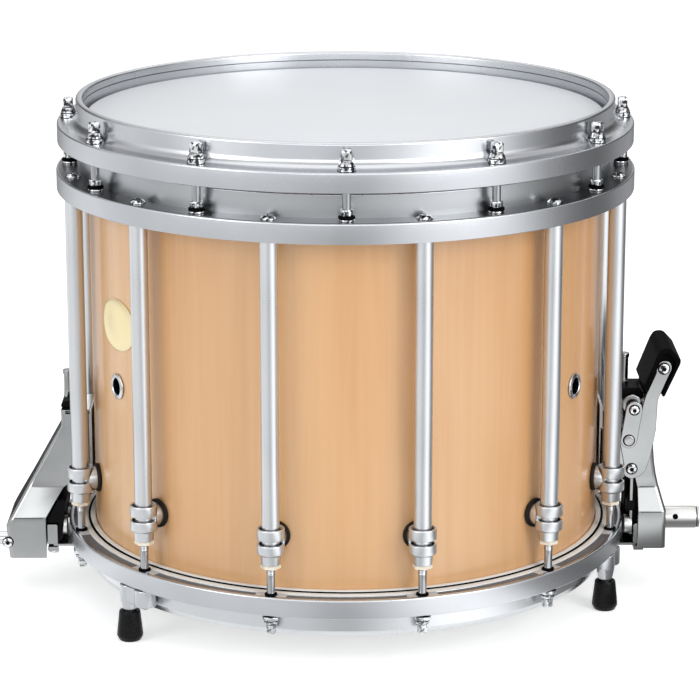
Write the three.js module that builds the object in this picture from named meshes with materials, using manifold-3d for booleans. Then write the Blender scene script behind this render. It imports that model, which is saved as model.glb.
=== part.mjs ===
// Marching snare drum, millimetres, +Z up. The floor under the rubber feet is z = 0, the drum's axis is
// the Z axis, the player's side faces -Y, the strainer is on +X and the butt end on -X.
import * as THREE from "three";
import { mergeVertices } from "three/addons/utils/BufferGeometryUtils.js";
import Module from "manifold-3d";

const wasm = await Module();
wasm.setup();

// Clearances
const seatGap = 0.3; // between pieces that touch
const runGap = 0.4; // round a piece that turns or slides
const overrun = 4; // how far a cutting tool passes the face it cuts

// Round resolution, in sides
const ringSides = 48;
const smallSides = 10;
const boreSides = 8;

// Heights of a foot, from the floor up
const tipHeight = 20.6; // rubber
const stemShows = 1.1; // leg between the rubber and the taper
const legTaperHeight = 9.5;
const legSocketHeight = 8;

// Heights of the drum
const lowerCollarDepth = 16.6;
const snareRecess = 11;
const filmThickness = 0.6;
const shellHeight = 300.6;
const batterRecess = 11.2;
const batterCollarHeight = 16.3;
const hoopBandHeight = 12.9;
const hoopGap = 18.8;
const ringBandHeight = 13.3;

// Floor to the underside of the lower hoop's band
const footHeight = tipHeight + stemShows + legTaperHeight + legSocketHeight + seatGap;
const lowerCollarZ = footHeight - lowerCollarDepth;
const snareFilmZ = lowerCollarZ + snareRecess;
const shellBottomZ = snareFilmZ + filmThickness + seatGap;
const shellTopZ = shellBottomZ + shellHeight;
const batterFilmZ = shellTopZ + seatGap + filmThickness;
const collarTopZ = batterFilmZ + batterRecess;
const hoopTopZ = collarTopZ - batterCollarHeight;
const hoopBottomZ = hoopTopZ - hoopBandHeight;
const ringTopZ = hoopBottomZ - hoopGap;
const ringBottomZ = ringTopZ - ringBandHeight;
const lowerHoopTopZ = footHeight + hoopBandHeight;

// Shell
const shellRadius = 175;
const shellWall = 6.5;
const edgeInset = 2; // the bearing edge's peak, in from the outside of the shell
const ventAngle = 60; // degrees from the front, to each side
const ventHeight = 165.5;
const ventBore = 5.6; // radius
const grommetWall = 1.6;
const ventHoleRoom = 0.8; // round the grommet's barrel
const grommetFlangeRadius = 8.7;
const grommetFlange = 1.2;

// Heads
const skirtWall = 0.7;
const fleshHoopWidth = 7;
const fleshHoopHeight = 6.5;
const fleshHoopDrop = 12; // from the film's outer face to the near face of the flesh hoop

const skirtInner = shellRadius + seatGap;
const skirtOuter = skirtInner + skirtWall;
const fleshHoopOuter = skirtInner + fleshHoopWidth;
const fleshTopZ = batterFilmZ - fleshHoopDrop;
const fleshBottomZ = fleshTopZ - fleshHoopHeight;

// Circle that carries the rods and the tubes
const rodStandOff = 13.2; // from the shell to the circle
const rodCount = 12;
const rodStep = 360 / rodCount;
const tubeOffset = rodStep / 2; // the tubes stand half a step round from the upper rods

const rodCircle = shellRadius + rodStandOff;

// Upper hoop
const collarWall = 4.4;
const collarClearance = 2; // round the head's skirt
const collarRound = 1.6;
const hoopOverhang = 7.3; // flange past the rod circle
const hoopFlange = 3;
const hoopBandWall = 2.8;
const hoopFillet = 3.6;
const lipWall = 1.6;
const lipDepth = 5.1;

const collarInner = skirtOuter + collarClearance;
const collarOuter = collarInner + collarWall;
const hoopOuter = rodCircle + hoopOverhang;
const lipInner = fleshHoopOuter + runGap;
const hoopStepZ = fleshTopZ + seatGap;

// Upper tension rods
const rodRadius = 2.75;
const rodHole = rodRadius + runGap;
const washerRadius = 5.2;
const washerStack = 4.4;
const keyWidth = 6.2;
const keyHeight = 8.8;
const spotFace = washerRadius + runGap; // radius
const rodPastRing = 10; // how far a rod reaches under the ring's top

// Tubes and their screws
const tubeRadius = 5.85;
const screwShank = 2.5;
const screwHeadRadius = 4.9;
const screwHeadRise = 2.9;
const screwHeadEdge = 1.1;

// Ring that the tubes hang from
const ringFlange = 3.2;
const ringBandWall = 2.2;
const ringWall = 2.5;
const ringClearance = 1; // round the shell
const tubeRoom = 0.35; // between the tubes and the ring's band
const screwRoom = 0.8; // between the screw heads and the ring's fillet
const tuningRoom = 3; // between the ring's wall and the flesh hoop
const bushingWall = 0.95;
const bushingRise = 4.6;
const bushingDrop = 4.5;

const ringOuter = rodCircle + tubeRadius + tubeRoom + ringBandWall;
const ringInner = shellRadius + ringClearance;
const ringWallOuter = ringInner + ringWall;
const ringFillet = rodCircle - screwHeadRadius - screwRoom - ringWallOuter;
const ringWallTopZ = fleshBottomZ - tuningRoom;
const ringWebZ = ringTopZ - ringFlange;
const bushingRadius = rodHole + bushingWall;

// Lugs: a clamp collar round the tube's foot, a post to the shell and the lower rod
const lugWall = 2.9;
const lugTopAboveHoop = 45.4; // lug's top over the lower hoop's top
const lugClampHeight = 17.8;
const lugBoreDepth = 14.2;
const lugNeckRadius = 6;
const lugNeckHeight = 10;
const lugSlotFromTop = 7.6;
const lugSlotHeight = 2.8;
const lugSlotDepth = 11; // how far the clamp's slot is cut in from its outer side
const postRadius = 7.8;
const postBelowTop = 8.6;
const lowerRodRadius = 2.5;
const lowerWasherRadius = 5.2;
const lowerWasher = 2.6;
const lowerKeyHeight = 8.2;

const lugRadius = tubeRadius + seatGap + lugWall;
const lugTopZ = lowerHoopTopZ + lugTopAboveHoop;
const lugClampZ = lugTopZ - lugClampHeight;
const lugNeckZ = lugClampZ - lugNeckHeight;
const lugBoreZ = lugTopZ - lugBoreDepth;
const lugSlotZ = lugTopZ - lugSlotFromTop - lugSlotHeight;
const postZ = lugTopZ - postBelowTop;
const tubeBottomZ = lugBoreZ + seatGap;
const tubeTopZ = ringWebZ - seatGap;

// Lower hoop, an open channel with a collar under it
const lowerOverhang = 5.8;
const lowerWeb = 3;
const lowerBandWall = 2.8;
const lowerLipWall = 2.2;
const lowerLipDrop = 2; // the lip's top under the band's top
const lowerCollarWall = 3.4;
const lowerCollarClearance = 1.2;
const lowerCollarTaper = 1.2;
const lowerFillet = 1.8;
const bossWall = 2;
const bossDrop = 2; // the bosses' tops under the band's top
const gateSideRoom = 5.25; // from the snares' end plates to each side of the gate
const gateRoom = 3.2; // from the film's outer face up to the gate's roof

const lowerOuter = rodCircle + lowerOverhang;
const lowerCollarInner = skirtOuter + lowerCollarClearance;
const lowerCollarOuter = lowerCollarInner + lowerCollarWall;
const lowerWebZ = footHeight + lowerWeb;
const lowerLipInner = fleshHoopOuter + runGap;
const bossRadius = lowerRodRadius + runGap + bossWall;

// Feet
const footAngles = [-45, 75, 195]; // degrees from the front, at lower rods
const legTurn = 4.8; // degrees from the bracket's boss round to the leg
const legOut = 0.8; // from the rods' circle out to the legs'
const footBossRadius = 7.2;
const footBossHeight = 12;
const legTopRadius = 6.2;
const legRadius = 4.8;
const stemRadius = 4;
const tipTopRadius = 6.9;
const tipFlareRadius = 8.8;
const tipSoleRadius = 6.4;
const tipSoleRise = 2.6;
const tipFloor = 8; // rubber under the stem
const footScrewDrop = 1.6;

const legCircle = rodCircle + legOut;

// Snares
const strandCount = 14;
const strandPitch = 3.3;
const strandWidth = 1.4;
const endPlateLength = 21.2;
const endPlateThickness = 1.7;
const endPlateOverhang = 1.6; // past the outer strands

const strandTopZ = snareFilmZ - seatGap;
const strandZ = strandTopZ - strandWidth;
const endPlateHalf = ((strandCount - 1) * strandPitch + strandWidth) / 2 + endPlateOverhang;
const gateHalfWidth = endPlateHalf + gateSideRoom;

// Snare clamps, alike on both sides
const clampRoom = 0.9; // between a frame's base plate and the clamp
const clampDepth = 7;
const clampAbove = 14.5;
const clampBelow = 3;
const clampSideWall = 1.4;
const clampSlotDepth = 4.7;

const clampHalf = endPlateHalf + clampSideWall;
const clampTopZ = strandTopZ + clampAbove;
const clampBottomZ = strandTopZ - endPlateThickness - clampBelow;

// Side frames, which both sides' boxes and plates share
const sheet = 2; // steel plate
const frameHalf = 22; // half of a frame's width
const postHalfSpacing = 18;
const standoffRadius = 6.6;
const basePlateStep = 4; // from the lower hoop's band to a base plate
const boxSideRoom = 0.85; // between the clamp and the lower box's sides
const guideStandOff = 16.5; // from the shell
const guideRadius = 3.1;
const guideCapRadius = 3.6;
const guideCapHeight = 3;
const guideWall = 2.6; // of a ledge, past the guide's cap
const ledge = 3;

const standoffZ = footHeight + hoopBandHeight / 2;
const standoffX = lowerOuter + seatGap;
const basePlateX = lowerOuter + basePlateStep;
const innerPlateX = shellRadius + seatGap;
const guideX = shellRadius + guideStandOff;
const ledgeX = guideX - guideCapRadius - guideWall; // near face of the ledges that carry the guides
const bulgeHalf = clampHalf + boxSideRoom + sheet; // half of the lower box's width
const clampInner = basePlateX + sheet + clampRoom; // from the axis to the clamp's near face
const clampOuter = clampInner + clampDepth;
const endPlateReach = clampInner + clampSlotDepth - runGap;
const strandHalfSpan = endPlateReach - endPlateLength;

// Strainer frame: a housing of bent sheet, its base plate and the plates that seat it on the shell. Its
// heights are taken from the underside of the lower hoop's band.
const strainerRise = 77.5;
const strainerDrop = 8.5;
const strainerInnerRise = 44.5;
const strainerInnerTopRise = 93.5;
const strainerBoxRise = 18;
const strainerFacetRise = 34;
const strainerBoxStep = 5.3; // from the base plate's near face to the box
const strainerReach = 25; // past the base plate
const guideShows = 10.6; // over the carriage

const strainerTopZ = footHeight + strainerRise;
const strainerBottomZ = footHeight - strainerDrop;
const strainerInnerZ = footHeight + strainerInnerRise;
const strainerInnerTopZ = footHeight + strainerInnerTopRise;
const strainerBoxTopZ = footHeight + strainerBoxRise;
const strainerFacetZ = footHeight + strainerFacetRise;
const strainerBoxX = basePlateX + strainerBoxStep;
// The housing's outer face from its foot up, in shares of its reach and of its height
const strainerEdgeShares = [
  [1, 0],
  [1, 0.314],
  [0.7, 0.605],
  [0.616, 0.8],
  [0.6, 1],
];

// Throw-off lever, with its pivot as the outline's origin
const pivotStep = 0.3; // from the base plate's near face
const pivotRise = 48.5; // over the lower hoop's underside
const leverReach = 27;
const leverLength = 77;
const leverPlateShares = [
  [-0.2, -0.065],
  [0, -0.1],
  [0.2, -0.075],
  [0.36, -0.02],
  [0.48, 0.12],
  [0.6, 0.366],
  [0.62, 0.634],
  [0.86, 0.843],
  [1, 0.935],
  [0.89, 0.994],
  [0.7, 0.997],
  [0.58, 0.95],
  [0.6, 0.899],
  [0.31, 0.678],
  [0.255, 0.597],
  [0.19, 0.44],
  [-0.04, 0.385],
  [-0.26, 0.36],
  [-0.33, 0.285],
  [-0.29, 0.2],
  [-0.2, 0.04],
];
const pivotPin = 3;
const pivotHeadRadius = 4.6;
const pivotHead = 1.8;
// The cross web between the plates: its near face, foot and top
const leverWebShares = [0.5333, 0.4026, 0.6234];
const rivetShares = [-0.0963, 0.2753];
const rivetRadius = 3;
const rivetHeadRadius = 4.7;
const rivetHead = 1.4;
const linkTopOut = 0.7; // from the pivot to the link's upper end
const linkTopRise = 43;
const linkEndRadius = 7.6;
const gripSide = 0.8; // how far the grip stands out past the lever's plates
// The grip's outline, in the same shares as the lever's plates
const gripShares = [
  [0.119, 0.87],
  [0.444, 1.181],
  [0.533, 1.224],
  [0.676, 1.243],
  [0.818, 1.237],
  [0.936, 1.202],
  [1.185, 1.019],
  [1.179, 0.982],
  [0.788, 0.677],
  [0.711, 0.681],
  [0.782, 0.771],
  [0.45, 0.758],
  [0.308, 0.717],
];
// The pocket in the grip's sides that takes a plate, in the same shares
const gripPocketShares = [
  [0.2, 0.55],
  [0.64, 0.6],
  [0.9, 0.835],
  [1.05, 0.94],
  [0.91, 1.01],
  [0.68, 1.012],
  [0.545, 0.955],
  [0.565, 0.905],
  [0.27, 0.69],
];

const pivotX = basePlateX + pivotStep;
const pivotZ = footHeight + pivotRise;
const leverPoint = ([u, v]) => [pivotX + u * leverReach, pivotZ + v * leverLength];
const leverNear = frameHalf + runGap; // the lever plates' faces towards the frame
const leverFar = leverNear + sheet;
const gripHalf = leverFar + gripSide;
const rivetAt = leverPoint(rivetShares);
const linkTopAt = [pivotX + linkTopOut, pivotZ + linkTopRise];

// Snare carriage
const carriageHeight = 12.6;
const carriageDepth = 19.8;
const carriageGuideWall = 1.8; // from the guide's hole to the carriage's near face
const carriageSideRoom = 0.6; // in from the frame's sides
const strapHalf = 8.6;
const strapThickness = 2.4;
const rollerRadius = 5;
const rollerRoom = 0.8; // between the roller and the carriage
const tongueRise = 1; // from the end plate up to the tongue between strap and clamp
const tongueHeight = 3.6;

const tongueZ = strandTopZ + tongueRise;
const carriageBottomZ = pivotZ + linkTopRise + rollerRadius + rollerRoom;
const carriageTopZ = carriageBottomZ + carriageHeight;
const carriageInnerX = guideX - guideRadius - carriageGuideWall;
const carriageOuterX = carriageInnerX + carriageDepth;
const carriageHalf = frameHalf - carriageSideRoom;
const strainerGuideTopZ = carriageTopZ + guideShows;

// Tension knob
const knobRadius = 7.8;
const knobLength = 25.7;
const knobRise = 5.5; // over the lower hoop's underside
const knobShaft = 3; // radius
const knobEdge = 1;

const knobZ = footHeight + knobRise;
const knobFaceX = basePlateX + strainerReach + seatGap;
const knobEndX = knobFaceX + knobLength;
const knobShaftX = clampOuter + runGap; // where its shaft ends

// Butt end: a housing of bent sheet and the casting that carries it on the hoop. Its heights are taken
// from the underside of the lower hoop's band.
const buttRise = 90.5;
const buttDrop = 15;
const buttInnerRise = 41.5;
const buttBoxRise = 14;
const buttFacetRise = 35.5;
const buttBoxRoom = 1.1; // between the clamp and the box
const buttReach = 61.2; // past the plate on the shell
const buttNeckDepth = 2.3; // of the housing behind its shoulder
// The housing's outer face from its foot up, in shares of its reach and of its height
const buttEdgeShares = [
  [0.967, 0],
  [1, 0.223],
  [0.351, 0.886],
  [0.351, 1],
];
const buttBlockHeight = 6.4;
const buttBlockHalf = 14;
const buttBlockInset = 3;
const buttGuideShows = 21;
const castingStep = 0.5; // from the standoffs' inner ends to the casting's top corner
const castingDrop = 2.6; // its lowest edge, under the lower hoop's underside
const castingRoom = 0.58; // between the casting and the clamp
const castingHeight = 28.6;
// The casting's outline, in shares of its width and of its height
const castingShares = [
  [0, 1],
  [0.22, 0],
  [0.4, 0],
  [0.4, 0.44],
  [1, 0.44],
  [0.39, 1],
];
const buttonRadius = 3.6;
const buttonHeight = 3;
const buttScrewRadius = 4.6;
const buttScrewShows = 12.5; // past the housing
const buttScrewDrop = 3.5;

const buttTopZ = footHeight + buttRise;
const buttBottomZ = footHeight - buttDrop;
const buttInnerZ = footHeight + buttInnerRise;
const buttBoxTopZ = footHeight + buttBoxRise;
const buttFacetZ = footHeight + buttFacetRise;
const buttBoxX = clampOuter + buttBoxRoom;
const buttGuideTopZ = buttTopZ + buttGuideShows;
const castingHalf = frameHalf - sheet - seatGap;
const castingX = standoffX + castingStep;
const castingZ = footHeight - castingDrop;
const castingWidth = (clampInner - castingRoom - castingX) / castingShares[2][0];
const buttScrewEndX = innerPlateX + buttReach + buttScrewShows;
const buttScrewZ = footHeight - buttScrewDrop;

// Helpers

// A closed three.js geometry as a solid that can be joined and cut.
function solid(geometry) {
  const bare = geometry.clone();
  bare.deleteAttribute("normal");
  bare.deleteAttribute("uv");
  const merged = mergeVertices(bare);
  const corners = merged.index.array;
  const kept = [];
  for (let i = 0; i < corners.length; i += 3) {
    const [a, b, c] = [corners[i], corners[i + 1], corners[i + 2]];
    if (a !== b && b !== c && a !== c) kept.push(a, b, c);
  }
  const mesh = new wasm.Mesh({
    numProp: 3,
    vertProperties: Float32Array.from(merged.attributes.position.array),
    triVerts: Uint32Array.from(kept),
  });
  return new wasm.Manifold(mesh);
}

// The solid's faces as a three.js geometry.
function shape(body) {
  const mesh = body.getMesh();
  const geometry = new THREE.BufferGeometry();
  geometry.setAttribute("position", new THREE.BufferAttribute(mesh.vertProperties, 3));
  geometry.setIndex(new THREE.BufferAttribute(mesh.triVerts, 1));
  const faceted = geometry.toNonIndexed();
  faceted.computeVertexNormals();
  return faceted;
}

const join = (...bodies) => bodies.reduce((a, b) => a.add(b));
const cut = (body, ...tools) => tools.reduce((a, b) => a.subtract(b), body);

// A profile of [radius, height] points turned round the Z axis. The points run anticlockwise, so that the
// faces point out, and a profile that doesn't end on the axis is closed on its first point.
function turned(points, sides) {
  const closed = points[0][0] === 0 ? points : [...points, points[0]];
  const profile = closed.map(([r, z]) => new THREE.Vector2(r, z));
  return new THREE.LatheGeometry(profile, sides).rotateX(Math.PI / 2);
}

// An upright cylinder from one height to another, centred on x, y.
function post(x, y, low, high, radius, sides = smallSides) {
  return new THREE.CylinderGeometry(radius, radius, high - low, sides)
    .rotateX(Math.PI / 2)
    .translate(x, y, (low + high) / 2);
}

// A cylinder along X between two x places.
function barX(from, to, y, z, radius, sides = smallSides) {
  return new THREE.CylinderGeometry(radius, radius, to - from, sides)
    .rotateZ(-Math.PI / 2)
    .translate((from + to) / 2, y, z);
}

// A cylinder along Y between two y places.
function barY(x, from, to, z, radius, sides = smallSides) {
  return new THREE.CylinderGeometry(radius, radius, to - from, sides).translate(x, (from + to) / 2, z);
}

// A box between two corners.
function block(x0, x1, y0, y1, z0, z1) {
  const box = new THREE.BoxGeometry(x1 - x0, y1 - y0, z1 - z0);
  return box.translate((x0 + x1) / 2, (y0 + y1) / 2, (z0 + z1) / 2);
}

// An outline of [x, z] points, drawn through the thickness from y0 to y1.
function plate(points, y0, y1) {
  const outline = new THREE.Shape(points.map(([x, z]) => new THREE.Vector2(x, z)));
  return new THREE.ExtrudeGeometry(outline, { depth: y1 - y0, bevelEnabled: false })
    .rotateX(Math.PI / 2)
    .translate(0, y1, 0);
}

// An outline of [y, z] points, drawn along X from x0 to x1.
function channel(points, x0, x1) {
  const outline = new THREE.Shape(points.map(([y, z]) => new THREE.Vector2(y, z)));
  return new THREE.ExtrudeGeometry(outline, { depth: x1 - x0, bevelEnabled: false })
    .rotateX(Math.PI / 2)
    .rotateZ(Math.PI / 2)
    .translate(x0, 0, 0);
}

// Places round the drum, in degrees from the front towards the strainer, as a turn about Z from +X.
const turn = (degrees) => THREE.MathUtils.degToRad(degrees - 90);
const around = (count, offset = 0) => Array.from({ length: count }, (_, i) => i * (360 / count) + offset);
const placed = (geometry, degrees) => geometry.clone().rotateZ(turn(degrees));

// Shell, heads and rings

function shell() {
  const inner = shellRadius - shellWall;
  const peak = shellRadius - edgeInset;
  const bevel = peak - inner;
  const body = turned(
    [
      [shellRadius, shellBottomZ + edgeInset],
      [shellRadius, shellTopZ - edgeInset],
      [peak, shellTopZ],
      [inner, shellTopZ - bevel],
      [inner, shellBottomZ + bevel],
      [peak, shellBottomZ],
    ],
    ringSides,
  );
  const holeRadius = ventBore + grommetWall + ventHoleRoom;
  const hole = barX(inner - overrun, shellRadius + overrun, 0, ventHeight, holeRadius);
  return shape(cut(solid(body), ...[-ventAngle, ventAngle].map((a) => solid(placed(hole, a)))));
}

// Turned round its own bore, then laid along X at the shell's wall.
function ventGrommet() {
  const length = shellWall + overrun;
  const tube = ventBore + grommetWall;
  return turned(
    [
      [ventBore, 0],
      [tube, 0],
      [tube, length],
      [grommetFlangeRadius, length],
      [grommetFlangeRadius, length + grommetFlange / 2],
      [tube, length + grommetFlange],
      [ventBore, length + grommetFlange],
    ],
    smallSides,
  )
    .rotateY(Math.PI / 2)
    .translate(shellRadius + seatGap - length, 0, ventHeight);
}

function batterHead() {
  const film = batterFilmZ - filmThickness;
  return turned(
    [
      [0, film],
      [skirtInner - edgeInset, film],
      [skirtInner, film - edgeInset],
      [skirtInner, fleshBottomZ],
      [fleshHoopOuter, fleshBottomZ],
      [fleshHoopOuter, fleshTopZ],
      [skirtOuter, fleshTopZ],
      [skirtOuter, batterFilmZ - edgeInset],
      [skirtOuter - edgeInset, batterFilmZ],
      [0, batterFilmZ],
    ],
    ringSides,
  );
}

function snareHead() {
  const film = snareFilmZ + filmThickness;
  const fleshLow = lowerWebZ + seatGap;
  const fleshHigh = fleshLow + fleshHoopHeight;
  return turned(
    [
      [0, snareFilmZ],
      [skirtOuter - edgeInset, snareFilmZ],
      [skirtOuter, snareFilmZ + edgeInset],
      [skirtOuter, fleshLow],
      [fleshHoopOuter, fleshLow],
      [fleshHoopOuter, fleshHigh],
      [skirtInner, fleshHigh],
      [skirtInner, film + edgeInset],
      [skirtInner - edgeInset, film],
      [0, film],
    ],
    ringSides,
  );
}

function batterHoop() {
  const webUnder = hoopTopZ - hoopFlange;
  const lipOuter = lipInner + lipWall;
  const bandInner = hoopOuter - hoopBandWall;
  const body = turned(
    [
      [hoopOuter, hoopBottomZ],
      [hoopOuter, hoopTopZ],
      [collarOuter + hoopFillet, hoopTopZ],
      [collarOuter, hoopTopZ + hoopFillet],
      [collarOuter, collarTopZ - collarRound],
      [collarOuter - collarRound, collarTopZ],
      [collarInner + collarRound, collarTopZ],
      [collarInner, collarTopZ - collarRound],
      [collarInner, hoopStepZ],
      [lipInner, hoopStepZ],
      [lipInner, hoopStepZ - lipDepth],
      [lipOuter, hoopStepZ - lipDepth],
      [lipOuter, webUnder],
      [bandInner, webUnder],
      [bandInner, hoopBottomZ],
    ],
    ringSides,
  );
  const hole = post(rodCircle, 0, webUnder - overrun, hoopTopZ + overrun, rodHole, boreSides);
  const seat = post(rodCircle, 0, hoopTopZ, hoopTopZ + hoopFillet + overrun, spotFace, boreSides);
  const tools = around(rodCount).flatMap((a) => [solid(placed(hole, a)), solid(placed(seat, a))]);
  return shape(cut(solid(body), ...tools));
}

function topRing() {
  const bandInner = ringOuter - ringBandWall;
  const body = turned(
    [
      [ringOuter, ringBottomZ],
      [ringOuter, ringTopZ],
      [ringWallOuter + ringFillet, ringTopZ],
      [ringWallOuter, ringTopZ + ringFillet],
      [ringWallOuter, ringWallTopZ],
      [ringInner, ringWallTopZ],
      [ringInner, ringBottomZ],
      [ringWallOuter, ringBottomZ],
      [ringWallOuter, ringWebZ],
      [bandInner, ringWebZ],
      [bandInner, ringBottomZ],
    ],
    ringSides,
  );
  const bushingLow = ringWebZ - bushingDrop;
  const bushing = post(rodCircle, 0, bushingLow, ringTopZ + bushingRise, bushingRadius, boreSides);
  const rodBore = post(rodCircle, 0, ringBottomZ - overrun, ringWallTopZ + overrun, rodHole, boreSides);
  const screwBore = screwShank + runGap;
  const screwHole = post(rodCircle, 0, ringWebZ - overrun, ringTopZ + overrun, screwBore, boreSides);
  const bushings = around(rodCount).map((a) => solid(placed(bushing, a)));
  const bores = around(rodCount).map((a) => solid(placed(rodBore, a)));
  const screwHoles = around(rodCount, tubeOffset).map((a) => solid(placed(screwHole, a)));
  return shape(cut(join(solid(body), ...bushings), ...bores, ...screwHoles));
}

function bottomHoop() {
  const bandInner = lowerOuter - lowerBandWall;
  const lipOuter = lowerLipInner + lowerLipWall;
  const lipTop = lowerHoopTopZ - lowerLipDrop;
  const half = lowerCollarWall / 2;
  const body = turned(
    [
      [lowerOuter, footHeight],
      [lowerOuter, lowerHoopTopZ],
      [bandInner, lowerHoopTopZ],
      [bandInner, lowerWebZ],
      [lipOuter, lowerWebZ],
      [lipOuter, lipTop],
      [lowerLipInner, lipTop],
      [lowerLipInner, lowerWebZ],
      [lowerCollarInner, lowerWebZ],
      [lowerCollarInner - lowerCollarTaper, lowerCollarZ + half],
      [lowerCollarOuter - lowerCollarTaper - half, lowerCollarZ],
      [lowerCollarOuter - lowerCollarTaper, lowerCollarZ + half],
      [lowerCollarOuter, footHeight - lowerFillet],
      [lowerCollarOuter + lowerFillet, footHeight],
    ],
    ringSides,
  );
  const boss = post(rodCircle, 0, footHeight + lowerWeb / 2, lowerHoopTopZ - bossDrop, bossRadius, boreSides);
  const rodBore = lowerRodRadius + runGap;
  const hole = post(rodCircle, 0, footHeight - overrun, lowerHoopTopZ + overrun, rodBore, boreSides);
  const gate = block(
    -lowerOuter,
    lowerOuter,
    -gateHalfWidth,
    gateHalfWidth,
    lowerCollarZ - overrun,
    snareFilmZ + gateRoom,
  );
  const angles = around(rodCount, tubeOffset);
  const bosses = angles.map((a) => solid(placed(boss, a)));
  const holes = angles.map((a) => solid(placed(hole, a)));
  return shape(cut(join(solid(body), ...bosses), ...holes, solid(gate)));
}

// Rods, tubes and lugs, each built on +X at the rod circle

function tensionRod() {
  const seat = hoopTopZ + seatGap;
  const stackTop = seat + washerStack;
  const stem = turned(
    [
      [0, ringTopZ - rodPastRing],
      [rodRadius, ringTopZ - rodPastRing],
      [rodRadius, seat],
      [washerRadius, seat],
      [washerRadius, stackTop],
      [0, stackTop],
    ],
    smallSides,
  );
  const half = keyWidth / 2;
  const key = block(-half, half, -half, half, stackTop - washerStack / 2, stackTop + keyHeight);
  return shape(join(solid(stem), solid(key))).translate(rodCircle, 0, 0);
}

function tube() {
  const seat = ringTopZ + seatGap;
  return turned(
    [
      [0, tubeBottomZ],
      [tubeRadius, tubeBottomZ],
      [tubeRadius, tubeTopZ],
      [screwShank, tubeTopZ],
      [screwShank, seat],
      [screwHeadRadius, seat],
      [screwHeadRadius, seat + screwHeadEdge],
      [screwShank, seat + screwHeadRise],
      [0, seat + screwHeadRise],
    ],
    smallSides,
  ).translate(rodCircle, 0, 0);
}

// The lower rod's head is left out where a foot's bracket takes its place.
function lug(withHead) {
  const bore = tubeRadius + seatGap;
  const washerTop = footHeight - seatGap;
  const washerLow = washerTop - lowerWasher;
  const footLow = footHeight - seatGap - footBossHeight - footScrewDrop;
  const rodEnd = withHead
    ? [
        [0, washerLow],
        [lowerWasherRadius, washerLow],
        [lowerWasherRadius, washerTop],
        [lowerRodRadius, washerTop],
      ]
    : [
        [0, footLow],
        [lowerRodRadius, footLow],
      ];
  const body = turned(
    [
      ...rodEnd,
      [lowerRodRadius, lugNeckZ],
      [lugNeckRadius, lugNeckZ],
      [lugNeckRadius, lugClampZ],
      [lugRadius, lugClampZ],
      [lugRadius, lugTopZ],
      [bore, lugTopZ],
      [bore, lugBoreZ],
      [0, lugBoreZ],
    ],
    smallSides,
  );
  const slot = block(
    lugRadius - lugSlotDepth,
    lugRadius + overrun,
    -lugRadius - overrun,
    lugRadius + overrun,
    lugSlotZ,
    lugSlotZ + lugSlotHeight,
  );
  const stand = barX(shellRadius + seatGap - rodCircle, -bore - seatGap, 0, postZ, postRadius);
  const half = keyWidth / 2;
  const key = block(-half, half, -half, half, washerLow - lowerKeyHeight, washerLow + lowerWasher / 2);
  const boreTool = post(0, 0, lugBoreZ, lugTopZ + overrun, bore);
  const clamp = cut(join(cut(solid(body), solid(slot)), solid(stand)), solid(boreTool));
  const whole = withHead ? join(clamp, solid(key)) : clamp;
  return shape(whole).translate(rodCircle, 0, 0);
}

// Feet

function footBracket() {
  const top = footHeight - seatGap;
  const bossLow = top - footBossHeight;
  const taperTop = top - legSocketHeight;
  const taperLow = taperTop - legTaperHeight;
  const boss = post(rodCircle, 0, bossLow, top, footBossRadius);
  const leg = turned(
    [
      [0, tipFloor + seatGap],
      [stemRadius, tipFloor + seatGap],
      [stemRadius, taperLow],
      [legRadius, taperLow],
      [legTopRadius, taperTop],
      [legTopRadius, top],
      [0, top],
    ],
    smallSides,
  ).translate(legCircle, 0, 0);
  const legSpan = THREE.MathUtils.degToRad(legTurn) * rodCircle;
  const bridgeHalf = legTopRadius - sheet;
  const bridge = block(rodCircle - bridgeHalf, rodCircle + bridgeHalf, -legSpan, 0, bossLow, top);
  const hole = post(rodCircle, 0, bossLow - overrun, top + overrun, lowerRodRadius + runGap, boreSides);
  const legTurned = leg.rotateZ(-THREE.MathUtils.degToRad(legTurn));
  const collarRadius = lowerCollarOuter + lowerFillet + seatGap;
  const collarSide = post(0, 0, bossLow - overrun, top + overrun, collarRadius, ringSides);
  return shape(cut(join(solid(boss), solid(legTurned), solid(bridge)), solid(hole), solid(collarSide)));
}

function footTip() {
  const socket = stemRadius + seatGap;
  return turned(
    [
      [0, 0],
      [tipSoleRadius, 0],
      [tipFlareRadius, tipSoleRise],
      [tipTopRadius, tipHeight],
      [socket, tipHeight],
      [socket, tipFloor],
      [0, tipFloor],
    ],
    smallSides,
  ).translate(legCircle, 0, 0);
}

// Snares and their clamps

function snareStrands() {
  const half = (strandCount - 1) / 2;
  const strands = Array.from({ length: strandCount }, (_, i) => {
    const y = (i - half) * strandPitch;
    return solid(
      block(
        -strandHalfSpan - overrun,
        strandHalfSpan + overrun,
        y - strandWidth / 2,
        y + strandWidth / 2,
        strandZ,
        strandTopZ,
      ),
    );
  });
  const low = strandTopZ - endPlateThickness;
  const right = block(strandHalfSpan, endPlateReach, -endPlateHalf, endPlateHalf, low, strandTopZ);
  const left = block(-endPlateReach, -strandHalfSpan, -endPlateHalf, endPlateHalf, low, strandTopZ);
  return shape(join(solid(right), solid(left), ...strands));
}

// The clamp on +X: a block with a slot that takes the end plate.
function clampBlock() {
  const body = block(clampInner, clampOuter, -clampHalf, clampHalf, clampBottomZ, clampTopZ);
  const slot = block(
    clampInner - overrun,
    clampInner + clampSlotDepth,
    -endPlateHalf - seatGap,
    endPlateHalf + seatGap,
    strandTopZ - endPlateThickness - seatGap,
    strandTopZ + seatGap,
  );
  return cut(solid(body), solid(slot));
}

// Two cylinders from the lower hoop's band to a side frame on +X.
function standoffs(reach) {
  const places = [-postHalfSpacing, postHalfSpacing];
  return places.map((y) => solid(barX(standoffX, reach, y, standoffZ, standoffRadius)));
}

// Strainer side

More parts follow.
